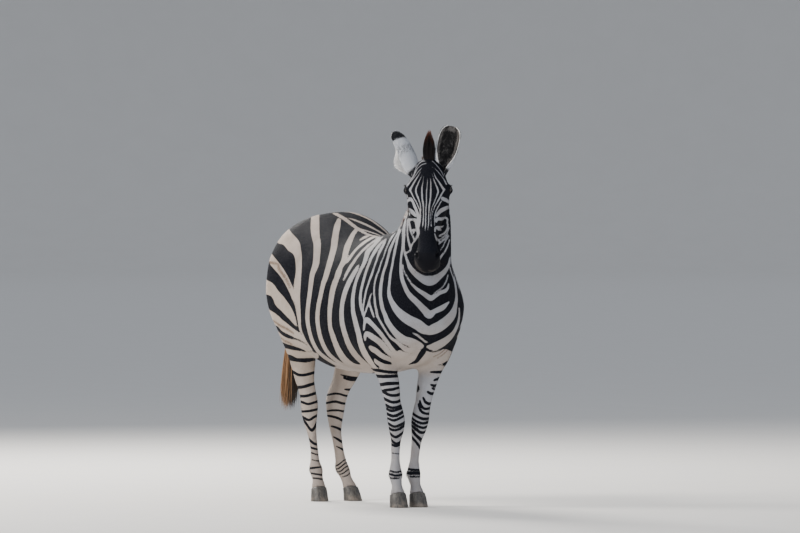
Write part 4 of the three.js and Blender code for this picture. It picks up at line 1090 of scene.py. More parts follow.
def markings(p, normal):
    """What the coat's paint needs at each point."""
    x, y, z = p.T
    along, side, front = head_frame(p)
    direct = on_stencil(p)
    face = (along > -.05) & (np.abs(side) < .13) & (front > -.19) & (z > 1.02)
    stripe = pattern(p, normal)
    muzzle = face * soft(along + .03 * soft(-front, .0, .05), .4, .43)
    stripe = stripe + muzzle * (.01 - stripe)
    faint = soft(-laid(body_places(p, normal), SHADE), -.005, .003) * (x < -.2)
    faint = np.maximum(faint, soft(-laid(direct, SHADE[3:]), -.002, .002) * (x > 0))
    # how buff the whites are: more so towards the rump, less on the lower legs
    buff_tint_and_shade = soft(-x, -.3, .1) * .55 + .2 * soft(-x, .2, .7) - .15 * soft(-z, -.7, -.5)
    # painted shade: the low breast, where the chest shades it, is tinted buff
    buff_tint_and_shade = buff_tint_and_shade + (.6 - buff_tint_and_shade) * soft(-z, -.9, -.68) * soft(z, .58, .66) * (x > -.05)
    faint = np.maximum(faint, .35 * (1 - soft(z, .25, .5)))
    bare = face * soft(along, .44, .475)
    pale = face * soft(-laid(direct, LIPS_PALE), -.002, .001) * (along > .42) * (normal @ TO_STENCIL > 0)
    pale = np.maximum(pale, .3 * (1 - soft(z, .06, .15)))
    for way in (1, -1):
        middle, long, short, out = eye_axes(way)
        q = p - middle
        near = (np.linalg.norm(q, axis=1) < .045) & (q @ out > 0)
        opening = eye_opening(q @ long, q @ short)
        bare = np.where(near, np.maximum(bare, 1 - soft(opening, .003, .006)), bare)
        stripe = np.where(near & (opening < .006), np.maximum(stripe, .004), stripe)
        bare = np.maximum(bare, 1 - soft(np.linalg.norm(p - spot(NOSTRIL, way), axis=1), .016, .026))
    chestnut = bump((z - .55) / .02, (x - .25) / .014) * (np.abs(y) < .16) * (normal[:, 1] * np.sign(y) < -.2)
    stripe, bare = np.where(chestnut > .4, .004, stripe), np.maximum(bare, chestnut > .4)
    return dict(stripe=stripe, faint=faint, buff_tint_and_shade=buff_tint_and_shade, bare=bare, pale=pale)


# ---- Blender: paint --------------------------------------------------------------------------------------
class Value:
    """A shader socket that Python sums can use."""

    def __init__(self, paint, socket):
        self.paint, self.socket = paint, socket

    def sum(self, operation, *values):
        return self.paint.node("ShaderNodeMath", {"operation": operation}, *values)

    def __add__(self, other):
        return self.sum("ADD", self, other)

    def __sub__(self, other):
        return self.sum("SUBTRACT", self, other)

    def __rsub__(self, other):
        return self.sum("SUBTRACT", other, self)

    def __mul__(self, other):
        return self.sum("MULTIPLY", self, other)

    def __truediv__(self, other):
        return self.sum("DIVIDE", self, other)

    def __rtruediv__(self, other):
        return self.sum("DIVIDE", other, self)

    __radd__, __rmul__ = __add__, __mul__

    def ramp(self, low, high):
        """Goes smoothly from 0 to 1 as this value goes from low to high."""
        return self.paint.node("ShaderNodeMapRange", {"interpolation_type": "SMOOTHSTEP"}, self, low, high)


class Paint:
    """A material under one shader."""

    def __init__(self, name, **fixed):
        self.material = bpy.data.materials.new(name)
        self.material.use_nodes = True
        self.tree = self.material.node_tree
        self.shader = self.tree.nodes["Principled BSDF"]
        for socket, value in fixed.items():
            self.shader.inputs[socket.replace("_", " ")].default_value = value

    def node(self, kind, settings=None, *values, output=0, **named):
        made = self.tree.nodes.new(kind)
        for name, value in (settings or {}).items():
            setattr(made, name, value)
        slots = list(enumerate(values)) + [(name.replace("_", " "), v) for name, v in named.items()]
        for slot, value in slots:
            if isinstance(value, Value):
                self.tree.links.new(value.socket, made.inputs[slot])
            elif value is not None:
                made.inputs[slot].default_value = value
        return Value(self, made.outputs[output])

    def mix(self, share, first, second):
        """One colour into another by a share from 0 to 1."""
        blank = [None] * 5
        return self.node("ShaderNodeMix", {"data_type": "RGBA"}, share, *blank, first, second, output=2)

    def sum(self, operation, *values):
        return self.node("ShaderNodeMath", {"operation": operation}, *values)

    def mark(self, name):
        """A number that the mesh carries at its points."""
        return self.node("ShaderNodeAttribute", {"attribute_name": name}, output=2)

    def noise(self, scale, detail=3.0, rough=.6, stretch=(1, 1, 1)):
        place = self.node("ShaderNodeTexCoord", output=3)
        place = self.node("ShaderNodeMapping", {"vector_type": "POINT"}, place, Scale=stretch)
        return self.node("ShaderNodeTexNoise", None, place, Scale=scale, Detail=detail, Roughness=rough)

    def feed(self, **sockets):
        for name, value in sockets.items():
            self.tree.links.new(value.socket, self.shader.inputs[name.replace("_", " ")])
        return self.material

    def bump(self, height, strength, distance):
        return self.node("ShaderNodeBump", None, strength, distance, Height=height)


# ---- Blender: meshes -------------------------------------------------------------------------------------
def put(name, data):
    """A new object in the scene."""
    made = bpy.data.objects.new(name, data)
    bpy.context.scene.collection.objects.link(made)
    return made


def mesh_piece(name, points, faces, material, marks=None, bake=None):
    """A mesh that rides on the animal, from points in the tables' frame."""
    mesh = bpy.data.meshes.new(name)
    mesh.vertices.add(len(points))
    placed = np.asarray(points, np.float32) + np.float32(OFFSET)
    mesh.vertices.foreach_set("co", placed.ravel())
    mesh.loops.add(faces.size)
    mesh.loops.foreach_set("vertex_index", faces.astype(np.int32).ravel())
    mesh.polygons.add(len(faces))
    mesh.polygons.foreach_set("loop_start", np.arange(0, faces.size, faces.shape[1], dtype=np.int32))
    mesh.update(calc_edges=True)
    mesh.polygons.foreach_set("use_smooth", np.full(len(faces), True))
    for mark, values in (marks or {}).items():
        mesh.attributes.new(mark, "FLOAT", "POINT").data.foreach_set("value", values.astype(np.float32))
    if bake is not None:
        layer = mesh.uv_layers.new(name="OFBake")
        layer.data.foreach_set("uv", bake[faces.ravel()].astype(np.float32).ravel())
    mesh.materials.append(material)
    piece = put(name, mesh)
    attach(piece, "root")
    return piece


# ---- hair ------------------------------------------------------------------------------------------------
chance = np.random.default_rng(41)
PATCH = .003  # how much of the bake map each tuft covers
SUNK = .0006  # how deep a tuft's root is in the skin


def unit(v):
    return v / np.maximum(np.linalg.norm(v, axis=-1, keepdims=True), 1e-9)


def dot(a, b):
    return (a * b).sum(-1, keepdims=True)


def spread(count, *size):
    """Random numbers from -1 to 1."""
    return chance.uniform(-1, 1, (count, *size))


def normals_of(points, faces):
    """The way out at each point of a mesh."""
    a, b, c = (points[faces[:, k]] for k in range(3))
    flat = np.cross(b - a, c - a)
    way = [sum(np.bincount(faces[:, k], flat[:, i], len(points)) for k in range(3)) for i in range(3)]
    return unit(np.stack(way, 1))


def unwrap(p, normal, part):
    """A flat map of the skin: each part's six sides, each drawn square on in a cell of its own."""
    main = np.abs(normal).argmax(1)
    chart = part * 6 + main * 2 + (normal[np.arange(len(p)), main] > 0)
    across = int(np.ceil(np.sqrt((part.max() + 1) * 6)))
    place = np.zeros((len(p), 2))
    for k in np.unique(chart):
        own = chart == k
        flat = np.delete(p[own], (k % 6) // 2, axis=1)
        flat = (flat - flat.min(0)) / max(np.ptp(flat, axis=0).max(), 1e-6)
        place[own] = (.04 + .92 * flat + (k % across, k // across)) / across
    return place


def patches(place, corners):
    """Each tuft's own patch of the map, from its corners' places in the patch."""
    return (place[:, None] + PATCH * (corners - .5)[None]).reshape(-1, 2)


def lie(p, normal):
    """The way the coat lies at each place."""
    x, _, z = p.T
    way = np.tile((-.8, 0, -.6), (len(p), 1))
    way += soft(x - .6 * (z - 1.15), .05, .25)[:, None] * (.05, 0, -.5)
    way += (1 - soft(z, .62, .82))[:, None] * (.9, 0, -1)
    way += soft(-x, .93, .97)[:, None] * (.9, 0, -1)
    along, side, front = head_frame(p)
    face = (along > -.05) & (np.abs(side) < .13) & (front > -.16) & (z > 1.02)
    way[face] = ALONG
    way = way + .28 * spread(len(p), 3)
    return unit(way - dot(way, normal) * normal)


def tufts(name, points, mine, normals, count, material, size):
    """Short tufts of the coat over some of the skin's faces; size gives their lengths, widths and heights."""
    a, b, c = (points[mine[:, k]] for k in range(3))
    area = np.linalg.norm(np.cross(b - a, c - a), axis=1)
    total = area.cumsum()
    place = (np.arange(count) + chance.random(count)) / count * total[-1]
    face = mine[np.searchsorted(total, place).clip(0, len(mine) - 1)]
    share = chance.random((count, 2))
    share = np.where(share.sum(1, keepdims=True) > 1, 1 - share, share)
    share = np.concatenate((1 - share.sum(1, keepdims=True), share), 1)[..., None]
    root = (points[face] * share).sum(1)
    normal = unit((normals[face] * share).sum(1))
    marks = markings(root, normal)
    keep = marks["bare"] < .5
    root, normal = root[keep], normal[keep]
    marks = {mark: values[keep] for mark, values in marks.items()}
    way = lie(root, normal)
    across = np.cross(normal, way)
    length, width, height = (np.broadcast_to(v, len(root))[:, None] for v in size(root, normal))
    length = length * (1 + .25 * spread(len(root), 1))
    height = height * (1 + .4 * spread(len(root), 1))
    low = root - SUNK * normal
    mid = root + .5 * length * way + .55 * height * normal
    tip = root + length * way + height * normal + .15 * length * across * spread(len(root), 1)
    marks = {mark: np.repeat(values, 5) for mark, values in marks.items()}
    reach = pattern(tip, normal) - marks["stripe"][::5]
    calm = np.abs(reach) < 1.5 * length[:, 0]
    marks["stripe"] += np.outer(reach * calm, (0, 0, .5, .5, 1)).ravel()
    blade = np.stack((low - .4 * width * across, low + .4 * width * across,
                      mid + .5 * width * across, mid - .5 * width * across, tip), 1)
    first = 5 * np.arange(len(root))[:, None, None]
    corners = first + np.array(((0, 1, 2), (0, 2, 3), (3, 2, 4)))
    marks["rise"] = np.tile((0, 0, .5, .5, 1), len(root))
    marks["shade"] = np.repeat(spread(len(root)), 5)
    flat = np.array(((0, 0), (1, 0), (1, .5), (0, .5), (.5, 1)))
    part = 2 * (root[:, 0] > LEGS_X).astype(int) + (root[:, 1] > 0)
    bake = patches(unwrap(root, normal, part), flat)
    mesh_piece(name, blade.reshape(-1, 3), corners.reshape(-1, 3), material, marks, bake)


def locks(root, leave, end, length, width, broad, rings=5, flat=.45):
    """Three-sided locks drawn to a tip, that bend from the way they leave to the way they end."""
    point, reached, rows, rise = root.copy(), 0, [], []
    for t in np.linspace(0, 1, rings + 1)[:-1]:
        heading = unit(leave + (end - leave) * (t + reached) / 2)
        point = point + heading * (length * (t - reached))[:, None]
        across = unit(broad - dot(broad, heading) * heading)
        through = np.cross(heading, across)
        size = (width * (.75 + .7 * t - 1.2 * t * t))[:, None] / 2
        for turn in (90, 210, 330):
            a = math.radians(turn)
            rows.append(point + size * (across * math.cos(a) + flat * through * math.sin(a)))
            rise.append(t)
        reached = t
    rows.append(point + unit(end) * (length * (1 - reached))[:, None])
    rise.append(1)
    points = np.stack(rows, 1)
    faces = [(0, 2, 1)]
    for r in range(rings - 1):
        for k in range(3):
            a, b, c, d = 3 * r + k, 3 * r + (k + 1) % 3, 3 * r + 3 + k, 3 * r + 3 + (k + 1) % 3
            faces += [(a, b, d), (a, d, c)]
    last = 3 * rings - 3
    faces += [(last + k, last + (k + 1) % 3, 3 * rings) for k in range(3)]
    each = 3 * rings + 1
    faces = (each * np.arange(len(root))[:, None, None] + np.array(faces)).reshape(-1, 3)
    corners = np.stack((np.tile((0, .5, 1), rings + 1)[:each], np.array(rise)), 1)
    return points.reshape(-1, 3), faces, np.tile(rise, len(root)), corners, each


def lock_piece(name, material, slot, place, marks, *shape, **more):
    """Locks as one piece, with each lock's own marks and its place on a flat map."""
    points, faces, rise, corners, each = locks(*shape, **more)
    marks = {mark: np.repeat(values, each) for mark, values in marks.items()}
    marks["rise"] = rise
    marks["shade"] = np.repeat(spread(len(rise) // each), each)
    place = .03 + .94 * (place - place.min(0)) / np.maximum(np.ptp(place, axis=0), 1e-6)
    return mesh_piece(name, points, faces, material, marks, patches(place, corners))


def facing_out(points, quads):
    """The same faces, turned round if they face into their form."""
    a, b, c, d = (points[quads[:, k]] for k in range(4))
    volume = (np.cross(a, b) * c + np.cross(a, c) * d).sum()
    return quads if volume > 0 else quads[:, ::-1]


def bands(rows, around):
    """Four-sided faces between rings of points, one ring after another."""
    i, j = np.meshgrid(np.arange(rows - 1), np.arange(around), indexing="ij")
    k = (j + 1) % around
    quads = np.stack((i * around + j, i * around + k, (i + 1) * around + k, (i + 1) * around + j), -1)
    return quads.reshape(-1, 4)


OTHER_WAY = [0, 3, 2, 1]  # the corners of such a face taken the other way round


# ---- mane, forelock and tail -----------------------------------------------------------------------------
def crest_place(step):
    n = NECK(step)
    return np.stack((n["crest_x"], n["lean"], n["crest_z"]), 1)


def mane(material):
    count = 6200
    t = chance.random(count)
    row = spread(count)
    step = .35 + 4.75 * t
    point = crest_place(step)
    along = unit(crest_place(step + .05) - crest_place(step - .05))
    stands = np.stack((-along[:, 2], 0 * t, along[:, 0]), 1) + along * (-.1 + .5 * t * t)[:, None]
    stands = unit(stands)
    left = np.array((0, 1, 0))
    out = row[:, None] * left
    length = MANE_HEIGHT(t)["height"] * (.98 + .1 * spread(count) - .12 * row**2) + .014
    leave = stands + .13 * out + .05 * spread(count, 3) + .12 * left
    end = stands + .02 * out - .25 * along + .1 * spread(count, 3) + .2 * left
    root = point + .0125 * out - .014 * stands
    beside = point + .05 * np.sign(out) - .03 * stands
    mark = markings(beside, np.sign(out) + 0 * stands)
    return lock_piece("mane_locks", material, "hair", np.stack((t, row), 1), dict(stripe=mark["stripe"]),
                      root, leave, end, length, .0042 + .001 * spread(count), along)


FORELOCK = dict(length=.186, lean=.1, back=-.034)


def forelock(material):
    count = 1500
    t, row = chance.random(count), spread(count)
    root = POLL + np.outer(-.016 + .014 * t * t, ALONG) + np.outer(.0125 * row, LEFT)
    root = root + np.outer(FORELOCK["back"] + .062 * t, FRONT)
    stands = -ALONG + np.outer(-.2 + .22 * t, FRONT)
    out = np.outer(.38 * row, LEFT)
    leave = stands + out + .05 * spread(count, 3)
    end = stands - .95 * out + FORELOCK["lean"] * FRONT + .05 * spread(count, 3)
    length = FORELOCK["length"] * (.99 - .14 * t * t - .2 * np.abs(row) ** 1.5 + .06 * spread(count)) + .006
    root, width = root - .008 * stands, .0042 + .001 * spread(count)
    return lock_piece("forelock_locks", material, "hair", np.stack((t, row), 1), dict(stripe=.01 + 0 * t),
                      root, leave, end, length, width, FRONT + 0 * root)


TUFT = dict(length=.388, hang=np.array((.02, -.06, -1)))


def tail_hair(material):
    count = 3600
    hang = unit(TUFT["hang"])
    up = chance.random(count) ** 1.5
    s = TAIL(TAIL_CUT + .1 * up)
    turn = math.pi * spread(count)
    out = np.stack((np.cos(turn), np.sin(turn), 0 * turn), 1)
    radius = np.sqrt(chance.random(count)) * (up < .1) + (up >= .1)
    root = np.stack((s["x"], s["y"], TAIL_CUT - .012 + .1 * up), 1) + .012 * radius[:, None] * out
    share = .35 + .67 * chance.random(count) ** .6
    leave = hang + (.1 + .08 * chance.random(count))[:, None] * out + .03 * spread(count, 3)
    end = hang - .05 * out + .06 * spread(count, 3)
    length = TUFT["length"] * share * (1 - .1 * up)
    ginger = soft(-out[:, 1] * STENCIL[1] - out[:, 0] * STENCIL[0] + .3 * spread(count), -.3, .5)
    return lock_piece("tail_locks", material, "hair", np.stack((turn, up), 1), dict(ginger=ginger),
                      root, leave, end, length, .0048 + .0012 * spread(count), np.cross(out, hang), rings=6)


# ---- ears ------------------------------------------------------------------------------------------------
EAR_ROOT = dict(along=.008, out=.06, front=-.02, length=.227)
EAR_POSE = {1: (12, 4, 8), -1: (27, -4, 120)}  # lean, tilt and turn of the left and of the right ear, degrees


def turned(v, axis, angle):
    a = math.radians(angle)
    return v * math.cos(a) + np.cross(axis, v) * math.sin(a) + axis * (axis @ v) * (1 - math.cos(a))


def ear_place(side, t, s, inside):
    """Points of an ear's shell: up it from 0 to 1, round it from -1 to 1, outer or inner face; and the way
    out, and the ear's own axes."""
    lean, tilt, turn = EAR_POSE[side]
    up = unit(turned(-ALONG, FRONT, -side * lean) + FRONT * math.tan(math.radians(tilt)))
    opens = turned(unit(FRONT - FRONT @ up * up), up, side * turn)
    across = np.cross(up, opens)
    root = spot(EAR_ROOT, side)
    e = EAR(t)
    angle = np.radians(e["spread"]) * s
    radius = e["radius"] - (e["wall"] - .0012) * inside - .0012
    curl = -.009 * np.sin(math.pi * np.maximum(t, 0))
    spine = np.maximum(e["radius"], .026)
    deep = curl - .55 * spine + e["radius"] - radius * np.cos(angle)
    point = root + np.multiply.outer(EAR_ROOT["length"] * t, up) + np.multiply.outer(deep, opens)
    point = point + np.multiply.outer(radius * np.sin(angle), across)
    out = np.multiply.outer(-np.cos(angle), opens) + np.multiply.outer(np.sin(angle), across)
    return point, out, up, opens, across


def ear(side, skin_paint, hair_paint):
    tall, wide = 34, 26
    t = -.12 + 1.12 * np.sin(np.linspace(0, math.pi / 2, tall))[:, None] ** 1.2 + np.zeros(2 * wide)
    s = np.concatenate((np.linspace(-1, 1, wide), np.linspace(1, -1, wide))) + 0 * t
    inside = (np.arange(2 * wide) >= wide) + 0 * t
    points = ear_place(side, t, s, inside)[0]
    j = np.arange(wide - 1)
    top = (tall - 1) * 2 * wide
    caps = np.stack((top + j, top + j + 1, top + 2 * wide - 2 - j, top + 2 * wide - 1 - j), -1)
    quads = np.concatenate((bands(tall, 2 * wide), caps))
    marks = dict(rise=t.ravel(), round=np.abs(s).ravel(), inside=inside.ravel())
    word = WORD[side]
    points = points.reshape(-1, 3)
    piece = mesh_piece("ear_shell_" + word, points, facing_out(points, quads), skin_paint, marks)
    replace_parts(piece, "ear_" + word)
    # hair in the cup, a fringe along its edges and short hair on its back
    for name, count, kind in (("cup", 1700, 0), ("fringe", 2200, 1), ("back", 4000, 2)):
        s = spread(count)
        t = chance.random(count) * .97
        if kind == 0:
            s, t = .93 * s, .04 + .86 * t
        elif kind == 1:
            s, t = np.sign(s) * (.97 + .03 * np.abs(s)), t ** 1.25
        point, out, up, opens, across = ear_place(side, t, s, (kind < 2) * np.ones(count))
        inner = across * -np.sign(s)[:, None]
        jitter = .18 * spread(count, 3)
        if kind == 0:
            leave = up - .9 * out + .3 * inner + jitter
            end = up + .5 * inner + .35 * opens + jitter
            length = .012 + .018 * np.abs(s) * (1 - .5 * t)
        elif kind == 1:
            low = (1 if side < 0 else .3) * bump((t - .2) / .22)[:, None]
            leave = (.8 - .4 * low) * up - .25 * inner + (.4 + .8 * low) * opens + jitter
            end = (.9 - .3 * low) * up - .1 * inner + (.2 + .7 * low) * opens + jitter
            length = (.004 + .032 * low[:, 0]) * (1 + .3 * spread(count))
        else:
            leave = up + .3 * out + jitter
            end = up + .12 * out + jitter
            length = .008 + .003 * spread(count)
        marks = dict(up=t, round=np.abs(s), kind=kind + 0 * t)
        width = (.0016, .0019, .0018)[kind] + 0 * t
        lock_piece(f"ear_{name}_{word}", hair_paint, "coat", np.stack((t, s), 1), marks,
                   point - .001 * leave, leave, end, length, width, across + 0 * point, rings=2 + (kind < 2))


# ---- eyes, lashes and whiskers ---------------------------------------------------------------------------
def eyeball(side, paint):
    middle, long, short, out = eye_axes(side)
    rows, columns = 25, 48
    down, around = np.linspace(0, math.pi, rows), np.linspace(0, 2 * math.pi, columns, endpoint=False)
    a, b = np.meshgrid(down, around, indexing="ij")
    ball = np.stack((np.sin(a) * np.cos(b), np.sin(a) * np.sin(b), np.cos(a)), -1)
    ball = EYE["radius"] * ball.reshape(-1, 3)
    quads = bands(rows, columns)[:, OTHER_WAY]
    points = middle + ball @ np.stack((long, short, out))
    word = WORD[side]
    piece = mesh_piece("eyeball_" + word, points, facing_out(points, quads), paint,
                       dict(long=ball[:, 0], short=ball[:, 1], out=ball[:, 2]))
    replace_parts(piece, "eye_" + word)


def lashes(side, paint):
    middle, long, short, out = eye_axes(side)
    count = 64
    a = math.pi * (.12 + .76 * chance.random(count))
    u, w = 1.06 * LID["long"] * np.cos(a), 1.12 * LID["high"] * np.sin(a)
    lift = np.sqrt(np.maximum((EYE["radius"] + .002) ** 2 - u**2 - w**2, 0))
    root = middle + np.outer(u, long) + np.outer(w, short) + np.outer(lift, out)
    fan = np.outer(np.cos(a), long)
    leave = out + .25 * short + .5 * fan + .1 * spread(count, 3)
    end = out + .1 * short - .3 * FRONT + .25 * ALONG + .6 * fan + .12 * spread(count, 3)
    length = .007 + .006 * np.sin(a) + .004 * spread(count)
    word = WORD[side]
    lock_piece("lashes_" + word, paint, "hair", np.stack((u, w), 1), dict(stripe=.01 + 0 * a),
               root, leave, end, length, .0008 + 0 * a, long + 0 * root, rings=4, flat=1)


def whiskers(paint):
    count = 90
    way = np.where(spread(count) > 0, 1, -1)
    along = .455 + .065 * chance.random(count)
    angle = np.radians(95 + 80 * chance.random(count)) * way
    s = HEAD(along)
    rise = np.where(np.cos(angle) > 0, s["up"], s["down"]) * np.cos(angle) * .8
    root = POLL + np.outer(along, ALONG) + np.outer(.8 * s["half"] * np.sin(angle), LEFT)
    root = root + np.outer(s["mid"] + rise, FRONT)
    root = settle(skin, root, 6, .02)
    out = unit(slope_of(skin, root))
    leave = out + .35 * ALONG + .2 * spread(count, 3)
    end = out + .5 * ALONG + .3 * spread(count, 3)
    length = .022 + .014 * chance.random(count)
    lock_piece("whiskers", paint, "hair", np.stack((along, angle), 1), dict(stripe=.01 + 0 * along),
               root, leave, end, length, .0007 + 0 * along, ALONG + 0 * root, rings=4, flat=1)


# ---- hooves ----------------------------------------------------------------------------------------------
def hoof(kind, side, paint):
    sections = LEG_SECTIONS[kind]
    lead = STANCE[kind, side]
    normal, level = coronet(sections, side, lead)
    around, tall = 56, 14
    a = np.linspace(0, 2 * math.pi, around, endpoint=False)

    def ring(z, grow):
        s = sections(z)
        along = np.where(np.cos(a) > 0, s["fore"], s["aft"] * (1 - .1 * bump(np.sin(a) / .28))) * np.cos(a)
        across = s["half"] * np.sin(a) * side
        turn = np.radians(s["turn"])
        along, across = along * (1 + grow), across * (1 + grow)
        x = s["x"] + lead * np.maximum(0, 1 - z / KNEE) + along * np.cos(turn) - side * across * np.sin(turn)
        y = side * (s["y"] + along * np.sin(turn)) + across * np.cos(turn)
        return np.stack((x, y, z), 1)

    top = ring(np.full(around, CORONET), 0)
    for _ in range(3):
        height = (level - top[:, :2] @ normal[:2]) / normal[2]
        top = ring(height, 0)
    rows, rise = [], []
    for i, t in enumerate((0, .03, *np.linspace(.1, 1, tall))):
        grow = -.035 if i == 0 else .012 * bump((t - .97) / .06)
        rows.append(ring(height * t + .001 * (t == 1), grow))
        rise.append(np.full(around, t))
    rows.append(ring(height + .004, -.3))
    rise.append(np.full(around, 1.0))
    rows = np.array([rows[0] * (.2, .2, 1) + rows[0].mean(0) * (.8, .8, 0), *rows])
    rise = np.concatenate((np.zeros(around), *rise))
    quads = bands(len(rows), around)
    rows = rows.reshape(-1, 3)
    word = WORD[side]
    piece = mesh_piece(f"{kind}_hoof_wall_{word}", rows, facing_out(rows, quads), paint,
                       dict(rise=rise))
    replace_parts(piece, f"{kind}_hoof_{word}")


# ---- floor, light and camera -----------------------------------------------------------------------------
VIEW = dict(turn=math.radians(66), distance=50.0, height=1.95, middle=(-.085, .108, 1.112), lens=.4816)


FLOOR = 62  # how far the floor is flat
RIM = 7  # how far and how high it sweeps up beyond that


def stage():
    """A plain pale floor, round and wide, that sweeps up to a low rim far off on every side."""
    around = 96
    profile = [(FLOOR * t, 0) for t in (.01, .1, .4, 1)]
    bend = np.linspace(.1, math.pi / 2, 14)
    profile += [(FLOOR + RIM * math.sin(a), RIM - RIM * math.cos(a)) for a in bend]
    turns = [(math.cos(a), math.sin(a)) for a in np.linspace(0, 2 * math.pi, around, endpoint=False)]
    points = [(far * c, far * s, up) for far, up in profile for c, s in turns]
    faces = bands(len(profile), around)[:, OTHER_WAY].tolist()
    faces.append(tuple(range(around)))
    mesh = bpy.data.meshes.new("floor")
    mesh.from_pydata(points, [], faces)
    mesh.polygons.foreach_set("use_smooth", [True] * len(faces))
    floor = put("floor", mesh)
    pale = Paint("pale_floor", Roughness=.9)
    grain = pale.noise(3.0)
    mesh.materials.append(pale.feed(Base_Color=pale.mix(grain, (.68, .66, .63, 1), (.72, .7, .67, 1))))
    floor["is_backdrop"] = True


def area_light(name, power, size, place, target, colour):
    light = bpy.data.lights.new(name, "AREA")
    light.energy, light.size, light.color = power, size, colour
    lamp = put(name, light)
    lamp.location = place
    lamp.rotation_euler = (Vector(target) - Vector(place)).to_track_quat("-Z", "Y").to_euler()


def lights():
    """Soft light from the animal's right, above and behind, and a paler one from the front."""
    area_light("key", 900, 3.5, (-1.5, -7, 6.5), (0, 0, .9), (1, .96, .9))
    area_light("behind", 1300, 2.5, (-7, 0, 6), (-.2, 0, 1), (1, .97, .92))
    area_light("front", 200, 7, (8, -3, 3.5), (0, 0, .9), (.9, .95, 1))
    world = bpy.data.worlds.new("studio")
    bpy.context.scene.world = world
    world.use_nodes = True
    world.node_tree.nodes["Background"].inputs[0].default_value = (.76, .82, .92, 1)
    world.node_tree.nodes["Background"].inputs[1].default_value = .62


def camera():
    turn, far = VIEW["turn"], VIEW["distance"]
    made = bpy.data.cameras.new("camera")
    made.lens, made.sensor_width, made.clip_end = VIEW["lens"] * 1000, 36, 200
    eye = put("camera", made)
    eye.location = (far * math.sin(turn) - FIT, -far * math.cos(turn), VIEW["height"])
    eye.location.x += OFFSET[0]
    aim = Vector(VIEW["middle"]) + Vector(OFFSET)
    eye.rotation_euler = (aim - eye.location).to_track_quat("-Z", "Y").to_euler()
    bpy.context.scene.camera = eye


# ---- paints ----------------------------------------------------------------------------------------------
def fur_colour(paint, grain):
    """The stripes' colours from the marks, on skin and coat alike."""
    black = (paint.mark("stripe") + (grain - .5) * .0022).ramp(-.0008, .0008)
    # the whites from cool to buff; the buff on the low breast is painted shade
    buff_tint_and_shade = paint.mix(paint.mark("buff_tint_and_shade"), (.43, .43, .455, 1), (.53, .425, .335, 1))
    pale = paint.mix((paint.mark("faint") * .75).ramp(0, 1), buff_tint_and_shade, (.16, .1, .065, 1))
    dark = paint.mix(grain.ramp(.35, .8), (.006, .007, .011, 1), (.019, .019, .024, 1))
    dust = paint.noise(11, 3).ramp(.4, .7) * .3
    colour = paint.mix(black, paint.mix(dust, pale, (.3, .235, .18, 1)), dark)
    return paint.mix(paint.mark("pale") * .8, colour, (.34, .29, .26, 1))


def skin_paint():
    paint = Paint("coat_skin", Specular_IOR_Level=.05)
    fine = paint.noise(420, 3, .6, (1, 1, .35))
    bare = paint.mark("bare")
    colour = paint.mix(bare * .9, fur_colour(paint, fine), (.007, .007, .009, 1))
    pores = paint.noise(900, 2)
    paint.feed(Normal=paint.bump(fine + pores * .5, .35, .0012))
    return paint.feed(Base_Color=colour, Roughness=bare * -.14 + .72)


def tuft_paint():
    paint = Paint("coat_tufts", Specular_IOR_Level=.06)
    grain = paint.mark("shade") * .5 + .5
    colour = fur_colour(paint, grain)
    # painted shade and sheen: each tuft darker at its root and lighter towards its tip; the grain adds a
    # random tone
    light = paint.mark("rise") * .16 + grain * .14 + .8
    return paint.feed(Base_Color=paint.mix(light, (0, 0, 0, 1), colour), Roughness=grain * .1 + .66)


def hair_paint():
    """Mane, forelock and lashes: striped at the root, black-brown above, with rusty tips."""
    paint = Paint("mane_hair", Specular_IOR_Level=.2)
    shade, rise = paint.mark("shade"), paint.mark("rise")
    black = (paint.mark("stripe") + shade * .003).ramp(-.002, .002)
    even = shade * .5 + .5
    white = paint.mix(even, (.42, .38, .35, 1), (.62, .58, .55, 1))
    dark = paint.mix(even, (.010, .009, .010, 1), (.028, .021, .018, 1))
    tip = (rise + shade * .14).ramp(.74, 1.05)
    colour = paint.mix(black, white, dark)
    rusty = paint.mix(tip, colour, (.1, .03, .013, 1))
    return paint.feed(Base_Color=rusty, Roughness=shade * .06 + .52)


def tail_paint():
    paint = Paint("tail_hair", Specular_IOR_Level=.25)
    shade, rise = paint.mark("shade"), paint.mark("rise")
    even = shade * .5 + .5
    ginger = paint.mix(even, (.2, .1, .045, 1), (.38, .22, .115, 1))
    dark = paint.mix(even, (.012, .01, .01, 1), (.05, .032, .022, 1))
    share = (paint.mark("ginger") + shade * .25 + rise * .12).ramp(.25, .75)
    return paint.feed(Base_Color=paint.mix(share, dark, ginger), Roughness=shade * .06 + .55)


def ear_colour(paint, up, grain):
    """The back of an ear: white, with a black tip and dark mottling lower down."""
    tip = (up + (grain - .5) * .04).ramp(.7, .74) - (up + (grain - .5) * .03).ramp(.95, .975)
    mottle = ((grain - .5) * 2.6 + .35) * (up.ramp(.3, .4) - up.ramp(.5, .58))
    base = 1 - (up + (grain - .5) * .06).ramp(-.04, .03)
    share = paint.sum("MAXIMUM", paint.sum("MAXIMUM", tip, mottle.ramp(.1, .7) * .7), base)
    return paint.mix(share, (.56, .57, .6, 1), (.01, .011, .014, 1))


def ear_paint():
    paint = Paint("ear_skin", Specular_IOR_Level=.15)
    up, grain = paint.mark("rise"), paint.noise(120, 3)
    fine = paint.noise(420, 3)
    cup = paint.mix(paint.noise(38, 3).ramp(.35, .65), (.02, .019, .019, 1), (.17, .155, .145, 1))
    cup = paint.mix(paint.mark("round").ramp(.93, .99), cup, (.5, .46, .42, 1))
    colour = paint.mix(paint.mark("inside"), ear_colour(paint, up, grain), cup)
    paint.feed(Normal=paint.bump(fine, .3, .001))
    return paint.feed(Base_Color=colour, Roughness=fine * .1 + .7)


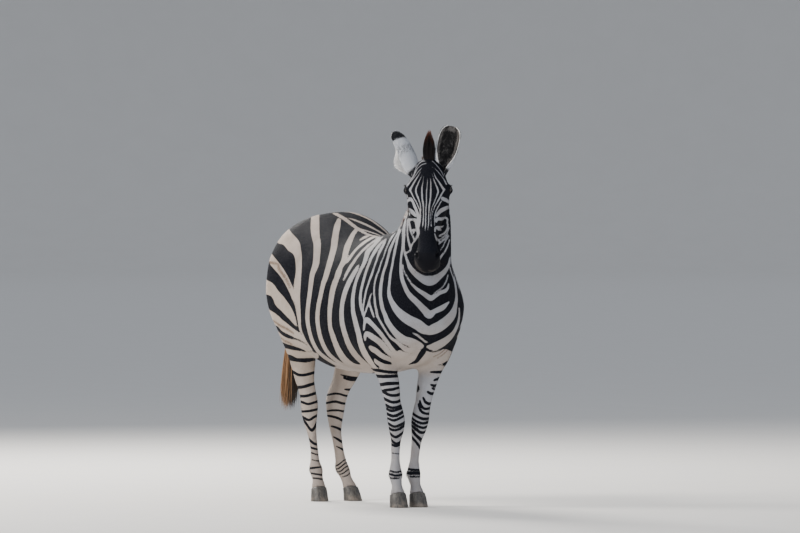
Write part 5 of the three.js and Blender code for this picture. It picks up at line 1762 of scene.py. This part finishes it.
def ear_hair_paint():
    paint = Paint("ear_hair", Specular_IOR_Level=.2)
    shade, kind = paint.mark("shade"), paint.mark("kind")
    up, rounded = paint.mark("up"), paint.mark("round")
    cup = paint.mix((rounded + shade * .16).ramp(.55, 1.05), (.035, .032, .032, 1), (.3, .27, .25, 1))
    even = shade * .5 + .5
    # partly painted light: the fringe is white hair, painted far paler than the coat's whites to stand for
    # sunlight from behind
    fringe = paint.mix(even, (.8, .78, .76, 1), (.94, .93, .92, 1))
    colour = paint.mix(kind.ramp(.4, .6), cup, fringe)
    colour = paint.mix(kind.ramp(1.4, 1.6), colour, ear_colour(paint, up, even))
    return paint.feed(Base_Color=colour, Roughness=shade * .05 + .6)


def eye_paint():
    paint = Paint("wet_eye", Coat_Roughness=.02, IOR=1.4)
    long, short, out = paint.mark("long"), paint.mark("short"), paint.mark("out")
    root = paint.sum("SQRT", long * long + short * short)
    pupil = paint.sum("SQRT", long * long * 1.0e4 + short * short * 4.4e4)
    grain = paint.noise(500, 3)
    iris = paint.mix(grain, (.008, .004, .002, 1), (.03, .014, .007, 1))
    colour = paint.mix(root.ramp(.0135, .0155), iris, (.006, .005, .005, 1))
    colour = paint.mix(1 - pupil.ramp(.9, 1.05), colour, (.002, .002, .0025, 1))
    front = out.ramp(0, .004)
    paint.feed(Coat_Weight=front)
    return paint.feed(Base_Color=colour, Roughness=front * -.45 + .5)


def horn_paint():
    paint = Paint("hoof_horn")
    rise = paint.mark("rise")
    streaks = paint.noise(140, 3, .6, (1, 1, .08))
    rings = paint.sum("SINE", rise * 58 + paint.noise(18, 2) * 4)
    colour = paint.mix(streaks.ramp(.3, .7), (.03, .028, .027, 1), (.1, .09, .08, 1))
    dust = paint.noise(30, 3).ramp(.35, .75) * (1 - rise.ramp(.1, .6)) * .6
    colour = paint.mix(dust, colour, (.32, .26, .2, 1))
    paint.feed(Normal=paint.bump(rings * .3 + streaks, .4, .0014))
    return paint.feed(Base_Color=colour, Roughness=streaks * .2 + .42)


# ---- the model -------------------------------------------------------------------------------------------
FIT = .133  # how far forward of the tables' middle the camera aims
OFFSET = (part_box("torso")[0].x - RUMP_X, 0, 0)
stage()
camera()
lights()

points, faces = skin_mesh()
normals = normals_of(points, faces)
body = mesh_piece("skin", points, faces, skin_paint(), markings(points, normals))
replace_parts(body, *[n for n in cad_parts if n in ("head", "neck", "torso", "tail_dock") or "leg_" in n])


def on_trunk(p, normal):
    """Shorter towards the throat and the breast."""
    short = soft(p[:, 0], .05, .4)
    throat = soft(p[:, 0], .34, .38) * soft(p[:, 2], 1.08, 1.12) * (1 - soft(p[:, 2], 1.38, 1.42))
    return .014 - .007 * short - .0025 * throat, .0023 - .0003 * short, .0021 - .0006 * short


def on_legs(p, normal):
    """Short, but for the feather behind each fetlock."""
    feather = soft(-normal[:, 0], .2, .7) * bump((p[:, 2] - .135) / .035)
    return .0062 + .014 * feather, .0016, .0012 + .005 * feather


def on_head(p, normal):
    along = head_frame(p)[0]
    fine = soft(along, .36, .44)
    return .0048 - .002 * fine, .0013 - .0003 * fine, .001 - .0003 * fine


middle = points[faces].mean(1)
x, y, z = middle.T
legs = z < LEG_TOP["fore"][0]
on_face = (head(middle) < np.minimum(neck(middle), trunk(middle))) & (z > 1)
on_neck = (neck(middle) < trunk(middle)) & ~on_face & (z > .9)
rest = ~(legs | on_face | on_neck)
tuft = tuft_paint()
for name, own, count, size in (
    ("coat_head", on_face, 56000, on_head),
    ("coat_neck", on_neck, 52000, on_trunk),
    ("coat_fore_right", rest & (x > MIDDLE_X) & (y < 0), 50000, on_trunk),
    ("coat_fore_left", rest & (x > MIDDLE_X) & (y >= 0), 50000, on_trunk),
    ("coat_rear_right", rest & (x <= MIDDLE_X) & (y < 0), 53500, on_trunk),
    ("coat_rear_left", rest & (x <= MIDDLE_X) & (y >= 0), 53500, on_trunk),
    ("coat_forelegs", legs & (x > LEGS_X), 44000, on_legs),
    ("coat_hindlegs", legs & (x <= LEGS_X), 46000, on_legs),
):
    tufts(name, points, faces[own], normals, count, tuft, size)

long_hair = hair_paint()
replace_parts(mane(long_hair), "mane")
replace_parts(forelock(long_hair), "forelock")
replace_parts(tail_hair(tail_paint()), "tail_tuft")
ear_skin, ear_hair, wet, horn = ear_paint(), ear_hair_paint(), eye_paint(), horn_paint()
for side in (1, -1):
    ear(side, ear_skin, ear_hair)
    eyeball(side, wet)
    lashes(side, long_hair)
    for kind in ("fore", "hind"):
        hoof(kind, side, horn)
whiskers(long_hair)

size = {"cad": [list(c) for c in start], "visual": [list(c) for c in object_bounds()]}
